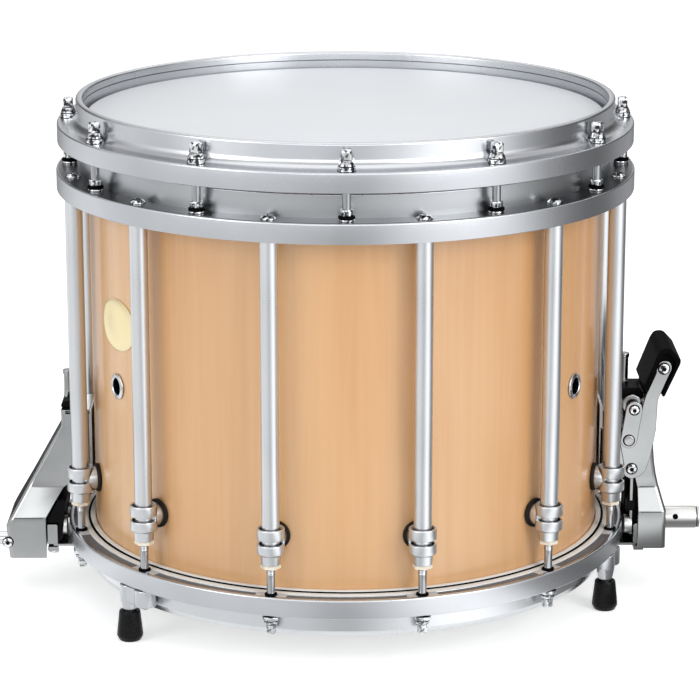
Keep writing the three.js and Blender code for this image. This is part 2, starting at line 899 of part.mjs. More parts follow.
// A housing of bent sheet on +X, open at its top and towards the drum. Its sides flare out from the frame's
// width to the lower box's, and its outer wall follows an edge of [x, z] points from its foot up. The inner
// points close the outline on the drum's side, from the top down.
function housing(edge, inner, boxTopZ, facetZ) {
  const [footX, bottomZ] = edge[0];
  const topZ = edge[edge.length - 1][1];
  const reach = Math.max(...edge.map(([x]) => x));
  const section = (inset, top) => [
    [-bulgeHalf + inset, bottomZ + inset],
    [bulgeHalf - inset, bottomZ + inset],
    [bulgeHalf - inset, boxTopZ],
    [frameHalf - inset, facetZ],
    [frameHalf - inset, top],
    [-frameHalf + inset, top],
    [-frameHalf + inset, facetZ],
    [-bulgeHalf + inset, boxTopZ],
  ];
  const side = bulgeHalf + overrun;
  const from = inner[0][0] - bulgeHalf;
  const outside = solid(channel(section(0, topZ), from, reach + overrun));
  const inside = solid(channel(section(sheet, topZ + overrun), from, reach + overrun));
  const whole = solid(plate([...edge, ...inner], -side, side));
  const edgeIn = edge.map(([x, z]) => [x - sheet, z]);
  const cavity = [
    [footX - sheet, bottomZ - overrun],
    ...edgeIn,
    [edgeIn[edge.length - 1][0], topZ + overrun],
    [from, topZ + overrun],
    [from, bottomZ - overrun],
  ];
  return cut(outside.intersect(whole), inside.intersect(solid(plate(cavity, -side, side))));
}

// Edge shares as [x, z] points.
const edgeOf = (shares, x, reach, low, high) =>
  shares.map(([u, v]) => [x + u * reach, low + v * (high - low)]);

function strainerFrame() {
  const edge = edgeOf(strainerEdgeShares, basePlateX, strainerReach, strainerBottomZ, strainerTopZ);
  const innerOutline = [
    [basePlateX, strainerTopZ],
    [basePlateX, strainerFacetZ - sheet],
    [strainerBoxX, strainerFacetZ - sheet],
    [strainerBoxX, strainerBottomZ],
  ];
  const inner = frameHalf - sheet;
  const pieces = [
    block(innerPlateX, basePlateX + sheet, -frameHalf, -inner, strainerInnerZ, strainerTopZ),
    block(innerPlateX, basePlateX + sheet, inner, frameHalf, strainerInnerZ, strainerTopZ),
    block(innerPlateX, innerPlateX + sheet, -frameHalf, frameHalf, strainerInnerZ, strainerInnerTopZ),
    block(basePlateX, basePlateX + sheet, -frameHalf, frameHalf, footHeight, strainerTopZ),
    block(ledgeX, basePlateX + sheet, -frameHalf, frameHalf, strainerTopZ - ledge, strainerTopZ),
    post(guideX, 0, strainerTopZ - ledge, strainerGuideTopZ, guideRadius),
    post(guideX, 0, strainerGuideTopZ - guideCapHeight, strainerGuideTopZ, guideCapRadius),
    barY(pivotX, -frameHalf - sheet, -inner, pivotZ, pivotPin),
    barY(pivotX, inner, frameHalf + sheet, pivotZ, pivotPin),
  ].map(solid);
  const strapSlot = block(
    basePlateX - seatGap - strapThickness - runGap,
    basePlateX,
    -strapHalf - runGap,
    strapHalf + runGap,
    strainerTopZ - ledge - overrun,
    strainerTopZ + overrun,
  );
  const clampWay = block(
    strainerBoxX - overrun,
    clampOuter + runGap,
    sheet - bulgeHalf,
    bulgeHalf - sheet,
    strainerBottomZ - overrun,
    strainerBottomZ + overrun,
  );
  const knobHole = barX(knobShaftX, knobEndX, 0, knobZ, knobShaft + runGap);
  const casing = housing(edge, innerOutline, strainerBoxTopZ, strainerFacetZ);
  const body = join(...pieces, ...standoffs(basePlateX + sheet / 2), casing);
  return shape(cut(body, solid(strapSlot), solid(knobHole), solid(clampWay)));
}

function throwOffLever() {
  const outline = leverPlateShares.map(leverPoint);
  const front = plate(outline, -leverFar, -leverNear);
  const back = plate(outline, leverNear, leverFar);
  const [webShare, webLowShare, webHighShare] = leverWebShares;
  const [webX, webLow] = leverPoint([webShare, webLowShare]);
  const webHigh = leverPoint([webShare, webHighShare])[1];
  const web = block(webX, webX + sheet, -leverNear - sheet / 2, leverNear + sheet / 2, webLow, webHigh);
  const pivotHole = barY(pivotX, -leverFar - overrun, leverFar + overrun, pivotZ, pivotPin + runGap);
  const rivetHole = barY(rivetAt[0], -leverFar - overrun, 0, rivetAt[1], rivetRadius + runGap);
  const heads = [-leverFar - pivotHead, leverFar].map((y) =>
    solid(barY(pivotX, y, y + pivotHead, pivotZ, pivotHeadRadius)),
  );
  const bored = cut(join(solid(front), solid(back), solid(web)), solid(pivotHole), solid(rivetHole));
  return shape(join(bored, ...heads));
}

// The grip is cut round the lever's plates, which lie in its sides, and over the carriage's corner.
function leverGrip() {
  const outline = gripShares.map(leverPoint);
  const pocket = gripPocketShares.map(leverPoint);
  const floor = leverNear - seatGap;
  const tools = [
    plate(pocket, -gripHalf - overrun, -floor),
    plate(pocket, floor, gripHalf + overrun),
    block(
      pivotX,
      carriageOuterX + runGap,
      -gripHalf - overrun,
      gripHalf + overrun,
      carriageBottomZ,
      carriageTopZ + runGap,
    ),
  ].map(solid);
  return shape(cut(solid(plate(outline, -gripHalf, gripHalf)), ...tools));
}

function leverLink() {
  const low = rivetAt;
  const high = linkTopAt;
  const near = -leverFar - runGap;
  const far = near - sheet;
  const lean = Math.atan2(high[0] - low[0], high[1] - low[1]);
  const side = new THREE.Vector2(Math.cos(lean), -Math.sin(lean)).multiplyScalar(linkEndRadius);
  const bar = plate(
    [
      [low[0] + side.x, low[1] + side.y],
      [high[0] + side.x, high[1] + side.y],
      [high[0] - side.x, high[1] - side.y],
      [low[0] - side.x, low[1] - side.y],
    ],
    far,
    near,
  );
  const pieces = [
    bar,
    barY(low[0], far, near, low[1], linkEndRadius),
    barY(high[0], far, near, high[1], linkEndRadius),
    barY(low[0], far - rivetHead, far, low[1], rivetHeadRadius),
    barY(high[0], far - pivotHead, far, high[1], pivotHeadRadius),
    barY(low[0], far, -leverNear, low[1], rivetRadius),
  ];
  return shape(join(...pieces.map(solid)));
}

function snareCarriage() {
  const top = carriageTopZ;
  const [rollerX, rollerZ] = linkTopAt;
  const strapX = basePlateX - seatGap - strapThickness;
  const head = block(carriageInnerX, carriageOuterX, -carriageHalf, carriageHalf, carriageBottomZ, top);
  const guideHole = post(guideX, 0, carriageBottomZ - overrun, top + overrun, guideRadius + runGap);
  const strap = block(strapX, strapX + strapThickness, -strapHalf, strapHalf, tongueZ, top);
  const roller = barY(rollerX, -leverFar, -carriageHalf + sheet, rollerZ, rollerRadius);
  const ear = block(
    rollerX - rollerRadius,
    rollerX + rollerRadius,
    -carriageHalf,
    -carriageHalf + sheet,
    rollerZ - rollerRadius,
    carriageBottomZ + sheet,
  );
  const tongueTop = tongueZ + tongueHeight;
  const tongue = block(strapX, clampInner + sheet / 2, -strapHalf, strapHalf, tongueZ, tongueTop);
  const bored = cut(solid(head), solid(guideHole));
  const body = join(bored, ...[strap, roller, ear, tongue].map(solid), clampBlock());
  return shape(body);
}

function tensionKnob() {
  return turned(
    [
      [0, knobShaftX],
      [knobShaft, knobShaftX],
      [knobShaft, knobFaceX],
      [knobRadius, knobFaceX],
      [knobRadius, knobEndX - knobEdge],
      [knobRadius - knobEdge, knobEndX],
      [0, knobEndX],
    ],
    smallSides,
  )
    .rotateY(Math.PI / 2)
    .translate(0, 0, knobZ);
}

// Butt side, drawn on +X and turned to -X

function buttBracket() {
  const inner = frameHalf - sheet;
  const edge = edgeOf(buttEdgeShares, innerPlateX, buttReach, buttBottomZ, buttTopZ);
  const neckX = edge[edge.length - 1][0];
  const [footX] = edge[0];
  const innerOutline = [
    [innerPlateX, buttTopZ],
    [innerPlateX, buttInnerZ],
    [neckX - buttNeckDepth, buttFacetZ - sheet],
    [buttBoxX, buttFacetZ - sheet],
    [buttBoxX, buttBottomZ],
  ];
  const pieces = [
    block(innerPlateX, innerPlateX + sheet, -frameHalf, frameHalf, buttInnerZ, buttTopZ),
    block(innerPlateX, neckX, -frameHalf, frameHalf, buttTopZ - ledge, buttTopZ),
    block(
      ledgeX,
      neckX - buttBlockInset,
      -buttBlockHalf,
      buttBlockHalf,
      buttTopZ,
      buttTopZ + buttBlockHeight,
    ),
    post(guideX, 0, buttTopZ, buttGuideTopZ, guideRadius),
    post(guideX, 0, buttGuideTopZ - guideCapHeight, buttGuideTopZ, guideCapRadius),
    barX(footX - sheet, buttScrewEndX, 0, buttScrewZ, buttScrewRadius),
  ].map(solid);
  const casing = housing(edge, innerOutline, buttBoxTopZ, buttFacetZ);
  return shape(join(...pieces, casing)).rotateZ(Math.PI);
}

function buttBase() {
  const place = ([u, v]) => [castingX + u * castingWidth, castingZ + v * castingHeight];
  const outline = castingShares.map(place);
  const casting = plate(outline, -castingHalf, castingHalf);
  const clearOfHoop = post(0, 0, footHeight - overrun, lowerHoopTopZ + overrun, standoffX, ringSides);
  const body = join(solid(casting), ...standoffs(castingX + castingShares[2][0] * castingWidth - seatGap));
  return shape(cut(body, solid(clearOfHoop))).rotateZ(Math.PI);
}

function buttClamp() {
  const mid = clampInner + clampDepth / 2;
  const button = post(mid, 0, clampBottomZ - buttonHeight, clampBottomZ + sheet / 2, buttonRadius);
  return shape(join(clampBlock(), solid(button))).rotateZ(Math.PI);
}

// Materials, one for each finish
const finish = (color, roughness, metalness) =>
  new THREE.MeshStandardMaterial({ color, roughness, metalness });
const finishes = {
  maple: finish(0xe0b585, 0.35, 0),
  aluminium: finish(0xc3c6ca, 0.35, 0.9),
  tube: finish(0xdadcdf, 0.25, 0.9),
  chrome: finish(0xd8dade, 0.12, 1),
  batter: finish(0xe6e8ec, 0.3, 0),
  snareFilm: finish(0xd9dadb, 0.35, 0),
  steel: finish(0xb5b6b8, 0.3, 0.95),
  blackMetal: finish(0x2a2a2c, 0.4, 0.4),
  blackPlastic: finish(0x161617, 0.45, 0),
  rubber: finish(0x1b1b1d, 0.7, 0),
};

// The drum, as a tree of named meshes
const drum = new THREE.Group();

function add(parent, name, geometry, material) {
  const mesh = new THREE.Mesh(geometry, material.clone());
  mesh.name = name;
  parent.add(mesh);
  return mesh;
}

// Copies of one piece, numbered and turned round the drum's axis.
function addRound(parent, name, angles, build, material) {
  angles.forEach((angle, i) => {
    const number = String(i + 1).padStart(2, "0");
    add(parent, `${name}_${number}`, build(angle), material).rotation.z = turn(angle);
  });
}

const body = new THREE.Group();
add(body, "shell", shell(), finishes.maple);
add(body, "batter_head", batterHead(), finishes.batter);
add(body, "snare_head", snareHead(), finishes.snareFilm);
add(body, "batter_hoop", batterHoop(), finishes.aluminium);
add(body, "top_ring", topRing(), finishes.aluminium);
add(body, "bottom_hoop", bottomHoop(), finishes.aluminium);
const grommet = ventGrommet();
add(body, "vent_grommet_left", grommet, finishes.chrome).rotation.z = turn(-ventAngle);
add(body, "vent_grommet_right", grommet, finishes.chrome).rotation.z = turn(ventAngle);
drum.add(body);

const hardware = new THREE.Group();
const rodShape = tensionRod();
const tubeShape = tube();
const lugShape = lug(true);
const footLugShape = lug(false);
const footPlaces = new Set(footAngles.map((angle) => (angle + 360) % 360));
const tubeAngles = around(rodCount, tubeOffset);
addRound(hardware, "tension_rod", around(rodCount), () => rodShape, finishes.chrome);
addRound(hardware, "tube", tubeAngles, () => tubeShape, finishes.tube);
const lugAt = (angle) => (footPlaces.has(angle) ? footLugShape : lugShape);
addRound(hardware, "lug", tubeAngles, lugAt, finishes.aluminium);
drum.add(hardware);

const feet = new THREE.Group();
const bracketShape = footBracket();
const tipShape = footTip();
addRound(feet, "foot_bracket", footAngles, () => bracketShape, finishes.aluminium);
const tipAngles = footAngles.map((angle) => angle - legTurn);
addRound(feet, "foot_tip", tipAngles, () => tipShape, finishes.rubber);
drum.add(feet);

const strainer = new THREE.Group();
add(strainer, "strainer_frame", strainerFrame(), finishes.steel);
add(strainer, "throw_off_lever", throwOffLever(), finishes.steel);
add(strainer, "lever_grip", leverGrip(), finishes.blackPlastic);
add(strainer, "lever_link", leverLink(), finishes.steel);
add(strainer, "snare_carriage", snareCarriage(), finishes.blackMetal);
add(strainer, "tension_knob", tensionKnob(), finishes.aluminium);
drum.add(strainer);

const butt = new THREE.Group();
add(butt, "butt_base", buttBase(), finishes.blackMetal);
add(butt, "butt_bracket", buttBracket(), finishes.steel);
add(butt, "butt_clamp", buttClamp(), finishes.steel);
drum.add(butt);
add(drum, "snare_strands", snareStrands(), finishes.steel);

export default drum;
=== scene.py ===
"""A marching snare drum on a pale floor, seen from the front and a little above.

Sizes are in millimetres in this file and become metres when a mesh is made. The drum's axis is Z, the
floor is z = 0, -Y is the front, the strainer is on +X and the butt end on -X.
"""

import math

import bmesh
import bpy
from mathutils import Matrix, Vector

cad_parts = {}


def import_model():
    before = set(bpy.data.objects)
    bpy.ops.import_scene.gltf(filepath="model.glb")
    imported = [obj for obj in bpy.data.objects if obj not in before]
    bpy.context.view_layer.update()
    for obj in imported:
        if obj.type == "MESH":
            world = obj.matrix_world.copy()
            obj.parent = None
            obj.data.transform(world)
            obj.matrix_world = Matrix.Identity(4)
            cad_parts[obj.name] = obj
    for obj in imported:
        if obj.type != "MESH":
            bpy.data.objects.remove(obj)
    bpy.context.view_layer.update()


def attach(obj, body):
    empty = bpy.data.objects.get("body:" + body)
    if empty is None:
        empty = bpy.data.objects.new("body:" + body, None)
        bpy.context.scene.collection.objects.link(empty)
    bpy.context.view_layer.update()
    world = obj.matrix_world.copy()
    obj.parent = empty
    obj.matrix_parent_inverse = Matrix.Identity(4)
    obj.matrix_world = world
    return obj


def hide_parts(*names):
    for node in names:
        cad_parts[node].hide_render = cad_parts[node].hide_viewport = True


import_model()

MM = 0.001

# Heights over the floor
LOWER_HOOP_LOW, LOWER_HOOP_TOP = 39.5, 52.4
SHELL_LOW, SHELL_HIGH = 34.8, 335.4
FILM_LOW, FILM_HIGH = 33.9, 336.3
HOOP_LOW, HOOP_TOP = 318.3, 331.2
COLLAR_TOP = 347.5
RING_LOW, RING_TOP = 286.2, 299.5
VENT_Z = 165.5
BADGE_Z = 208.0
LUG_Z = 89.2
STANDOFF_Z = 45.95
SNARE_Z = 32.9
KNOB_Z = 45.0

# Radii, counts and bearings from the front
SHELL = 175.0
CIRCLE = 188.2
FOOT_CIRCLE = 189.0
COUNT = 12
TUBE_TURN = 15
VENT_TURN = 60
BADGE_TURN = -59.5
FEET = (-45, 75, 195)
LEG_TURN = 4.8

# Smoothness: the sides of small, middling, large and very large rounds
FEW, SOME, MANY, MOST = 32, 40, 48, 240

# Outlines and solids


def rounded(corners, steps=4):
    """A closed outline of (u, v) points. A corner given as (u, v, radius) becomes an arc."""
    out = []
    for i, corner in enumerate(corners):
        here = Vector(corner[:2])
        radius = corner[2] if len(corner) > 2 else 0
        before = Vector(corners[i - 1][:2]) - here
        after = Vector(corners[(i + 1) % len(corners)][:2]) - here
        half = before.angle(after) / 2
        if radius <= 0 or half > 1.55:
            out.append(tuple(here))
            continue
        reach = min(radius / math.tan(half), 0.49 * before.length, 0.49 * after.length)
        radius = reach * math.tan(half)
        a, b = before.normalized(), after.normalized()
        centre = here + (a + b).normalized() * (radius / math.sin(half))
        start, end = here + a * reach - centre, here + b * reach - centre
        sweep = math.atan2(start.x * end.y - start.y * end.x, start.dot(end))
        for k in range(steps + 1):
            angle = sweep * k / steps
            c, s = math.cos(angle), math.sin(angle)
            out.append((centre.x + start.x * c - start.y * s, centre.y + start.x * s + start.y * c))
    return out


def box(u0, u1, v0, v1, radii=(), steps=3):
    """A rectangle's outline. The radii belong to its lower left corner and then on round."""
    corners = [(u0, v0), (u1, v0), (u1, v1), (u0, v1)]
    if not radii:
        return corners
    return rounded([corner + (radius,) for corner, radius in zip(corners, radii)], steps)


def turned(outline, sides=MANY, closed=True, start=0.0, sweep=360.0):
    """(vertices, faces) of an outline of (radius, height) turned round Z, whole or in part."""
    whole = sweep >= 360
    rows = sides if whole else sides + 1
    verts = []
    for i in range(rows):
        angle = math.radians(start + sweep * i / sides)
        c, s = math.cos(angle), math.sin(angle)
        verts += [(r * c, r * s, z) for r, z in outline]
    n = len(outline)
    faces = []
    for i in range(sides):
        a, b = i * n, ((i + 1) % rows) * n
        for k in range(n if closed else n - 1):
            j = (k + 1) % n
            faces.append((a + k, b + k, b + j, a + j))
    if not whole:
        faces.append(tuple(range(n)))
        faces.append(tuple(reversed(range((rows - 1) * n, rows * n))))
    return verts, faces


def slab(outline, low, high, axis="y"):
    """(vertices, faces) of an outline drawn through a thickness along one axis."""
    place = {
        "y": lambda u, v, w: (u, w, v),
        "x": lambda u, v, w: (w, u, v),
        "z": lambda u, v, w: (u, v, w),
    }[axis]
    n = len(outline)
    verts = [place(u, v, low) for u, v in outline] + [place(u, v, high) for u, v in outline]
    faces = [tuple(range(n)), tuple(reversed(range(n, 2 * n)))]
    faces += [(k, (k + 1) % n, n + (k + 1) % n, n + k) for k in range(n)]
    return verts, faces


def loft(rings):
    """(vertices, faces) of equal closed rings of points, joined in turn and capped at both ends."""
    n = len(rings[0])
    verts = [p for ring in rings for p in ring]
    faces = [tuple(range(n)), tuple(reversed(range((len(rings) - 1) * n, len(rings) * n)))]
    for i in range(len(rings) - 1):
        a, b = i * n, (i + 1) * n
        faces += [(a + k, a + (k + 1) % n, b + (k + 1) % n, b + k) for k in range(n)]
    return verts, faces


def moved(part, matrix):
    verts, faces = part
    return [tuple(matrix @ Vector(v)) for v in verts], faces


def shifted(part, x=0.0, y=0.0, z=0.0):
    return moved(part, Matrix.Translation((x, y, z)))


def spun(part, degrees, axis="Z"):
    return moved(part, Matrix.Rotation(math.radians(degrees), 4, axis))


def mirrored(part):
    """A part of the strainer's side turned over to the butt end's."""
    return spun(part, 180)


def together(*parts):
    verts, faces = [], []
    for v, f in parts:
        base = len(verts)
        verts += v
        faces += [tuple(base + i for i in face) for face in f]
    return verts, faces


def lying(part):
    """A solid turned round Z, laid along +X."""
    return spun(part, 90, "Y")


def facing(part, x, z, face):
    """A solid turned round Z, laid to point at the front from a face's y."""
    return shifted(spun(part, 90, "X"), x=x, y=face, z=z)


def disc(radius, low, high, edge=0.3, sides=FEW):
    """A round piece with softened rims."""
    return turned(box(0, radius, low, high, (0, edge, edge, 0)), sides)


def hexagon(flats, low, high, edge=0.3):
    """A hexagonal bar with its upper rim taken off."""
    radius = flats / math.sqrt(3)
    outline = [(radius * math.cos(k * math.pi / 3), radius * math.sin(k * math.pi / 3)) for k in range(6)]
    levels = ((1.0, low), (1.0, high - edge), (0.93, high))
    return loft([[(u * share, v * share, z) for u, v in outline] for share, z in levels])


def square_bar(width, low, high, corner=0.6, dome=0.8):
    """An upright square bar with rounded corners and a domed top."""
    h = width / 2
    outline = box(-h, h, -h, h, (corner,) * 4)
    shoulder = high - dome
    levels = [(1.0, low), (1.0, shoulder)]
    levels += [(share, shoulder + dome * rise) for share, rise in ((0.96, 0.45), (0.84, 0.8), (0.6, 1.0))]
    return loft([[(u * share, v * share, z) for u, v in outline] for share, z in levels])


def threaded(radius, low, high, pitch=1.0, depth=0.22):
    """The outline of a threaded shaft, as level rings."""
    out = [(0, low)]
    for k in range(int((high - low) / pitch)):
        z = low + k * pitch
        out += [(radius - depth, z), (radius, z + 0.35 * pitch), (radius, z + 0.6 * pitch)]
    return out + [(radius - depth, high), (0, high)]


# Objects


def placed(name, data):
    """A new object in the scene."""
    obj = bpy.data.objects.new(name, data)
    bpy.context.scene.collection.objects.link(obj)
    return obj


def finished(bm, name, mat, sharp):
    """The mesh of an edit mesh, with its material and shading."""
    mesh = bpy.data.meshes.new(name)
    bm.to_mesh(mesh)
    bm.free()
    mesh.materials.append(mat)
    soften(mesh, sharp)
    return mesh


def mesh_of(name, part, mat, sharp=35.0):
    verts, faces = part
    bm = bmesh.new()
    made = [bm.verts.new([c * MM for c in v]) for v in verts]
    for face in faces:
        try:
            bm.faces.new([made[i] for i in face])
        except ValueError:
            continue
    bmesh.ops.remove_doubles(bm, verts=bm.verts, dist=1e-7)
    bmesh.ops.dissolve_degenerate(bm, dist=1e-8, edges=bm.edges)
    bmesh.ops.recalc_face_normals(bm, faces=bm.faces)
    return finished(bm, name, mat, sharp)


def on_circle(name, part, mat, sharp=35.0):
    """A mesh of a part that stands on the circle of the rods and tubes."""
    return mesh_of(name, shifted(part, x=CIRCLE), mat, sharp)


def soften(mesh, sharp):
    """Smooth shading, with the edges sharper than an angle kept."""
    bm = bmesh.new()
    bm.from_mesh(mesh)
    limit = math.radians(sharp)
    for face in bm.faces:
        face.smooth = True
    for edge in bm.edges:
        edge.smooth = len(edge.link_faces) == 2 and edge.calc_face_angle(0) < limit
    bm.to_mesh(mesh)
    bm.free()


def show(name, mesh, body="drum", slot=None, replaces=(), turn=None, bevel=0.0, matrix=None):
    """Puts a mesh in the scene on a body. turn is its angle round the drum, in degrees from the front."""
    obj = placed(name, mesh)
    if matrix is not None:
        obj.matrix_world = matrix
    if turn is not None:
        obj.matrix_world = Matrix.Rotation(math.radians(turn - 90), 4, "Z")
    if bevel:
        mod = obj.modifiers.new("edges", "BEVEL")
        mod.width = bevel * MM
        mod.segments = 2
        mod.limit_method = "ANGLE"
        mod.angle_limit = math.radians(30)
        mod.harden_normals = False
    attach(obj, body)
    if replaces:
        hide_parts(*replaces)


def piece(name, part, mat, sharp=35.0, **how):
    show(name, mesh_of(name, part, mat, sharp), **how)


def carved(name, part, cutters, mat, sharp=35.0):
    """A mesh with other solids cut out of it."""
    target = placed(name, mesh_of(name, part, mat, 180))
    tool = placed(name + "_tool", mesh_of(name + "_tool", together(*cutters), mat, 180))
    mod = target.modifiers.new("cut", "BOOLEAN")
    mod.operation = "DIFFERENCE"
    mod.solver = "EXACT"
    mod.use_self = True
    mod.object = tool
    bpy.context.view_layer.update()
    graph = bpy.context.evaluated_depsgraph_get()
    mesh = bpy.data.meshes.new_from_object(target.evaluated_get(graph))
    mesh.name = name
    for obj in (target, tool):
        old = obj.data
        bpy.data.objects.remove(obj)
        bpy.data.meshes.remove(old)
    soften(mesh, sharp)
    return mesh


def without_ends(bm, bearings):
    """Takes the flat faces at both ends off a step of a ring."""
    caps = []
    for face in bm.faces:
        for end in bearings:
            away = Vector((-math.sin(end), math.cos(end), 0))
            if all(abs(v.co.dot(away)) < 1e-6 for v in face.verts):
                caps.append(face)
    bmesh.ops.delete(bm, geom=caps, context="FACES")


def repeated(name, outline, cutters, mat, count, sides=300, sharp=30.0):
    """A ring cut alike at equal steps. One step, centred on the front, is cut and then copied round."""
    step = 360 / count
    start = -90 - step / 2
    one = carved(name + "_step", turned(outline, sides // count, start=start, sweep=step), cutters, mat, 180)
    bm = bmesh.new()
    bm.from_mesh(one)
    without_ends(bm, [math.radians(start), math.radians(start + step)])
    source = bm.verts[:] + bm.edges[:] + bm.faces[:]
    for i in range(1, count):
        copy = bmesh.ops.duplicate(bm, geom=source)["geom"]
        turn = Matrix.Rotation(math.radians(step * i), 4, "Z")
        bmesh.ops.transform(bm, matrix=turn, verts=[g for g in copy if isinstance(g, bmesh.types.BMVert)])
    bmesh.ops.remove_doubles(bm, verts=bm.verts, dist=2e-6)
    bmesh.ops.recalc_face_normals(bm, faces=bm.faces)
    bpy.data.meshes.remove(one)
    return finished(bm, name, mat, sharp)


def around(offset=0.0):
    """(number, bearing) of each of the twelve places round the drum."""
    return [(f"{i + 1:02d}", offset + i * 360 / COUNT) for i in range(COUNT)]


# Materials


def linear(code):
    code = code.lstrip("#")
    values = [int(code[i : i + 2], 16) / 255 for i in (0, 2, 4)]
    return tuple(v / 12.92 if v <= 0.04045 else ((v + 0.055) / 1.055) ** 2.4 for v in values) + (1.0,)


def feed(tree, node, inputs):
    """Sets each input of a node to a value, or feeds it from another node."""
    for socket, value in inputs.items():
        if isinstance(value, bpy.types.Node):
            value = value.outputs[0]
        if isinstance(value, bpy.types.NodeSocket):
            tree.links.new(value, node.inputs[socket])
        else:
            node.inputs[socket].default_value = value


def new_node(tree, kind, inputs=None, **settings):
    node = tree.nodes.new("ShaderNode" + kind)
    for key, value in settings.items():
        setattr(node, key, value)
    feed(tree, node, inputs or {})
    return node


def new_material(name):
    """A material, its nodes and their output."""
    mat = bpy.data.materials.new(name)
    mat.use_nodes = True
    mat.node_tree.nodes.clear()
    return mat, mat.node_tree, new_node(mat.node_tree, "OutputMaterial")


class Finish:
    """A material built of nodes, with helpers for its patterns."""

    def __init__(self, name, **values):
        self.mat, self.tree, out = new_material(name)
        named = {key.replace("_", " "): value for key, value in values.items()}
        self.bsdf = self.node("BsdfPrincipled", named)
        feed(self.tree, out, {0: self.bsdf})
        self.coords = self.node("TexCoord").outputs["Object"]

    def node(self, kind, inputs=None, **settings):
        return new_node(self.tree, kind, inputs, **settings)

    def noise(self, scale, detail=3.0, rough=0.5, distortion=0.0):
        """A noise pattern in object space. scale is one number, or one for each axis."""
        size = scale if isinstance(scale, tuple) else (scale,) * 3
        place = self.node("Mapping", {"Vector": self.coords, "Scale": size})
        pattern = {"Scale": 1.0, "Detail": detail, "Roughness": rough, "Distortion": distortion}
        return self.node("TexNoise", {"Vector": place, **pattern})

    def spread(self, fac, low, high, out_low=0.0, out_high=1.0):
        return self.node("MapRange", {0: fac, 1: low, 2: high, 3: out_low, 4: out_high})

    def blend(self, fac, a, b, mode="MIX"):
        return self.node("Mix", {0: fac, 6: a, 7: b}, data_type="RGBA", blend_type=mode).outputs[2]

    def color(self, source):
        feed(self.tree, self.bsdf, {"Base Color": source})

    def roughness(self, source):
        feed(self.tree, self.bsdf, {"Roughness": source})

    def bump(self, fac, height):
        """Relief of a pattern, height in millimetres."""
        relief = self.node("Bump", {"Strength": 1.0, "Distance": height * MM, "Height": fac})
        feed(self.tree, self.bsdf, {"Normal": relief})


def metal(name, dark, light, rough, cloud=14, spread=0.02, edge=(0.3, 0.7)):
    """Cast or rolled metal: cloud is how fine its clouds are, and edge how sharply they end."""
    f = Finish(name, Metallic=1.0)
    f.color(f.blend(f.spread(f.noise(cloud), *edge), linear(dark), linear(light)))
    f.roughness(f.spread(f.noise(30, 2), 0.3, 0.7, rough - spread, rough + spread))
    return f.mat


def reflection_spotted_metal(name, dark, light):
    """Polished metal too small to show what it mirrors, with painted reflections: light and dark spots in its
    colour stand in for what it mirrors.
    """
    return metal(name, dark, light, 0.1, cloud=430, spread=0.01, edge=(0.42, 0.52))


def dull(name, dark, light, rough, relief=0.002, gloss=0.5):
    """Paint, rubber or plastic with a fine grain. gloss is its specular level."""
    f = Finish(name, Metallic=0.0, Specular_IOR_Level=gloss)
    f.color(f.blend(f.spread(f.noise(60), 0.3, 0.7), linear(dark), linear(light)))
    f.roughness(f.spread(f.noise(700, 2), 0.3, 0.7, rough - 0.06, rough + 0.06))
    f.bump(f.noise(700), relief)
    return f.mat


def maple():
    """Maple under lacquer: broad bands and fine streaks along Z."""
    f = Finish("maple", Metallic=0.0, Coat_Weight=0.6, Coat_Roughness=0.16, Coat_IOR=1.6)
    broad = f.spread(f.noise((9, 9, 1.6), 3, 0.5, 0.4), 0.32, 0.68)
    fine = f.spread(f.noise((150, 150, 5), 4, 0.6, 0.2), 0.3, 0.7)
    tone = f.blend(broad, linear("#e2b787"), linear("#d6a470"))
    streak = f.blend(fine, linear("#fff8ee"), linear("#e9cfae"))
    f.color(f.blend(0.35, tone, streak, "MULTIPLY"))
    f.roughness(f.spread(fine, 0, 1, 0.34, 0.42))
    f.bump(fine, 0.01)
    return f.mat


def film(name, dark, light, rough):
    f = Finish(name, Metallic=0.0)
    f.color(f.blend(f.spread(f.noise(9), 0.3, 0.7), linear(dark), linear(light)))
    f.roughness(f.spread(f.noise(20, 2), 0.3, 0.7, rough - 0.02, rough + 0.02))
    return f.mat


MAPLE = maple()
ALU = metal("satin_aluminium", "#b9bbbf", "#c2c4c7", 0.26)
# Painted light: a lighter copy of the hoop aluminium for the skirt under the lower hoop, brightened for the
# white floor that it mirrors.
RIM_PAINTED_BRIGHT = metal("painted_bright_rim", "#c6c8cb", "#ced0d2", 0.26)
TUBE = metal("tube_aluminium", "#cdcfd1", "#d4d6d8", 0.29)
LUG = metal("lug_aluminium", "#c8cacc", "#d0d2d4", 0.32)
CHROME = metal("chrome", "#c6c8cb", "#ced0d2", 0.08, spread=0.01)
# Painted reflections: the light and dark spots of these two chromes stand in for what small polished parts
# mirror.
CHROME_PAINTED_REFLECTION = reflection_spotted_metal("small_painted_reflection_chrome", "#3c3d40", "#e2e4e6")
KEY_PAINTED_REFLECTION = reflection_spotted_metal("lower_painted_reflection_chrome", "#7b7d80", "#d2d4d6")
# Painted shade: a darker copy of the aluminium for the tube ring's wall, which the upper hoop shades.
WALL_PAINTED_SHADE = metal("painted_shade_wall", "#a9abae", "#b1b3b5", 0.3)
# Painted dark reflection: a darker copy of the aluminium, over the tube ring's top for the shaded hoop that
# it mirrors, and as a thin ridge in the upper hoop's collar.
PAINTED_DARK_METAL = metal("painted_dark_aluminium", "#5e6063", "#66686b", 0.3)
STEEL = metal("bright_steel", "#999b9b", "#a2a3a3", 0.15, cloud=45)
ZINC = metal("galvanised", "#c6c9cc", "#d6d8da", 0.34, cloud=90)
GREY = metal("knob_aluminium", "#c9c9c7", "#d1d1cf", 0.36)
ROD = metal("rod_steel", "#a3a5a8", "#adafb1", 0.08)
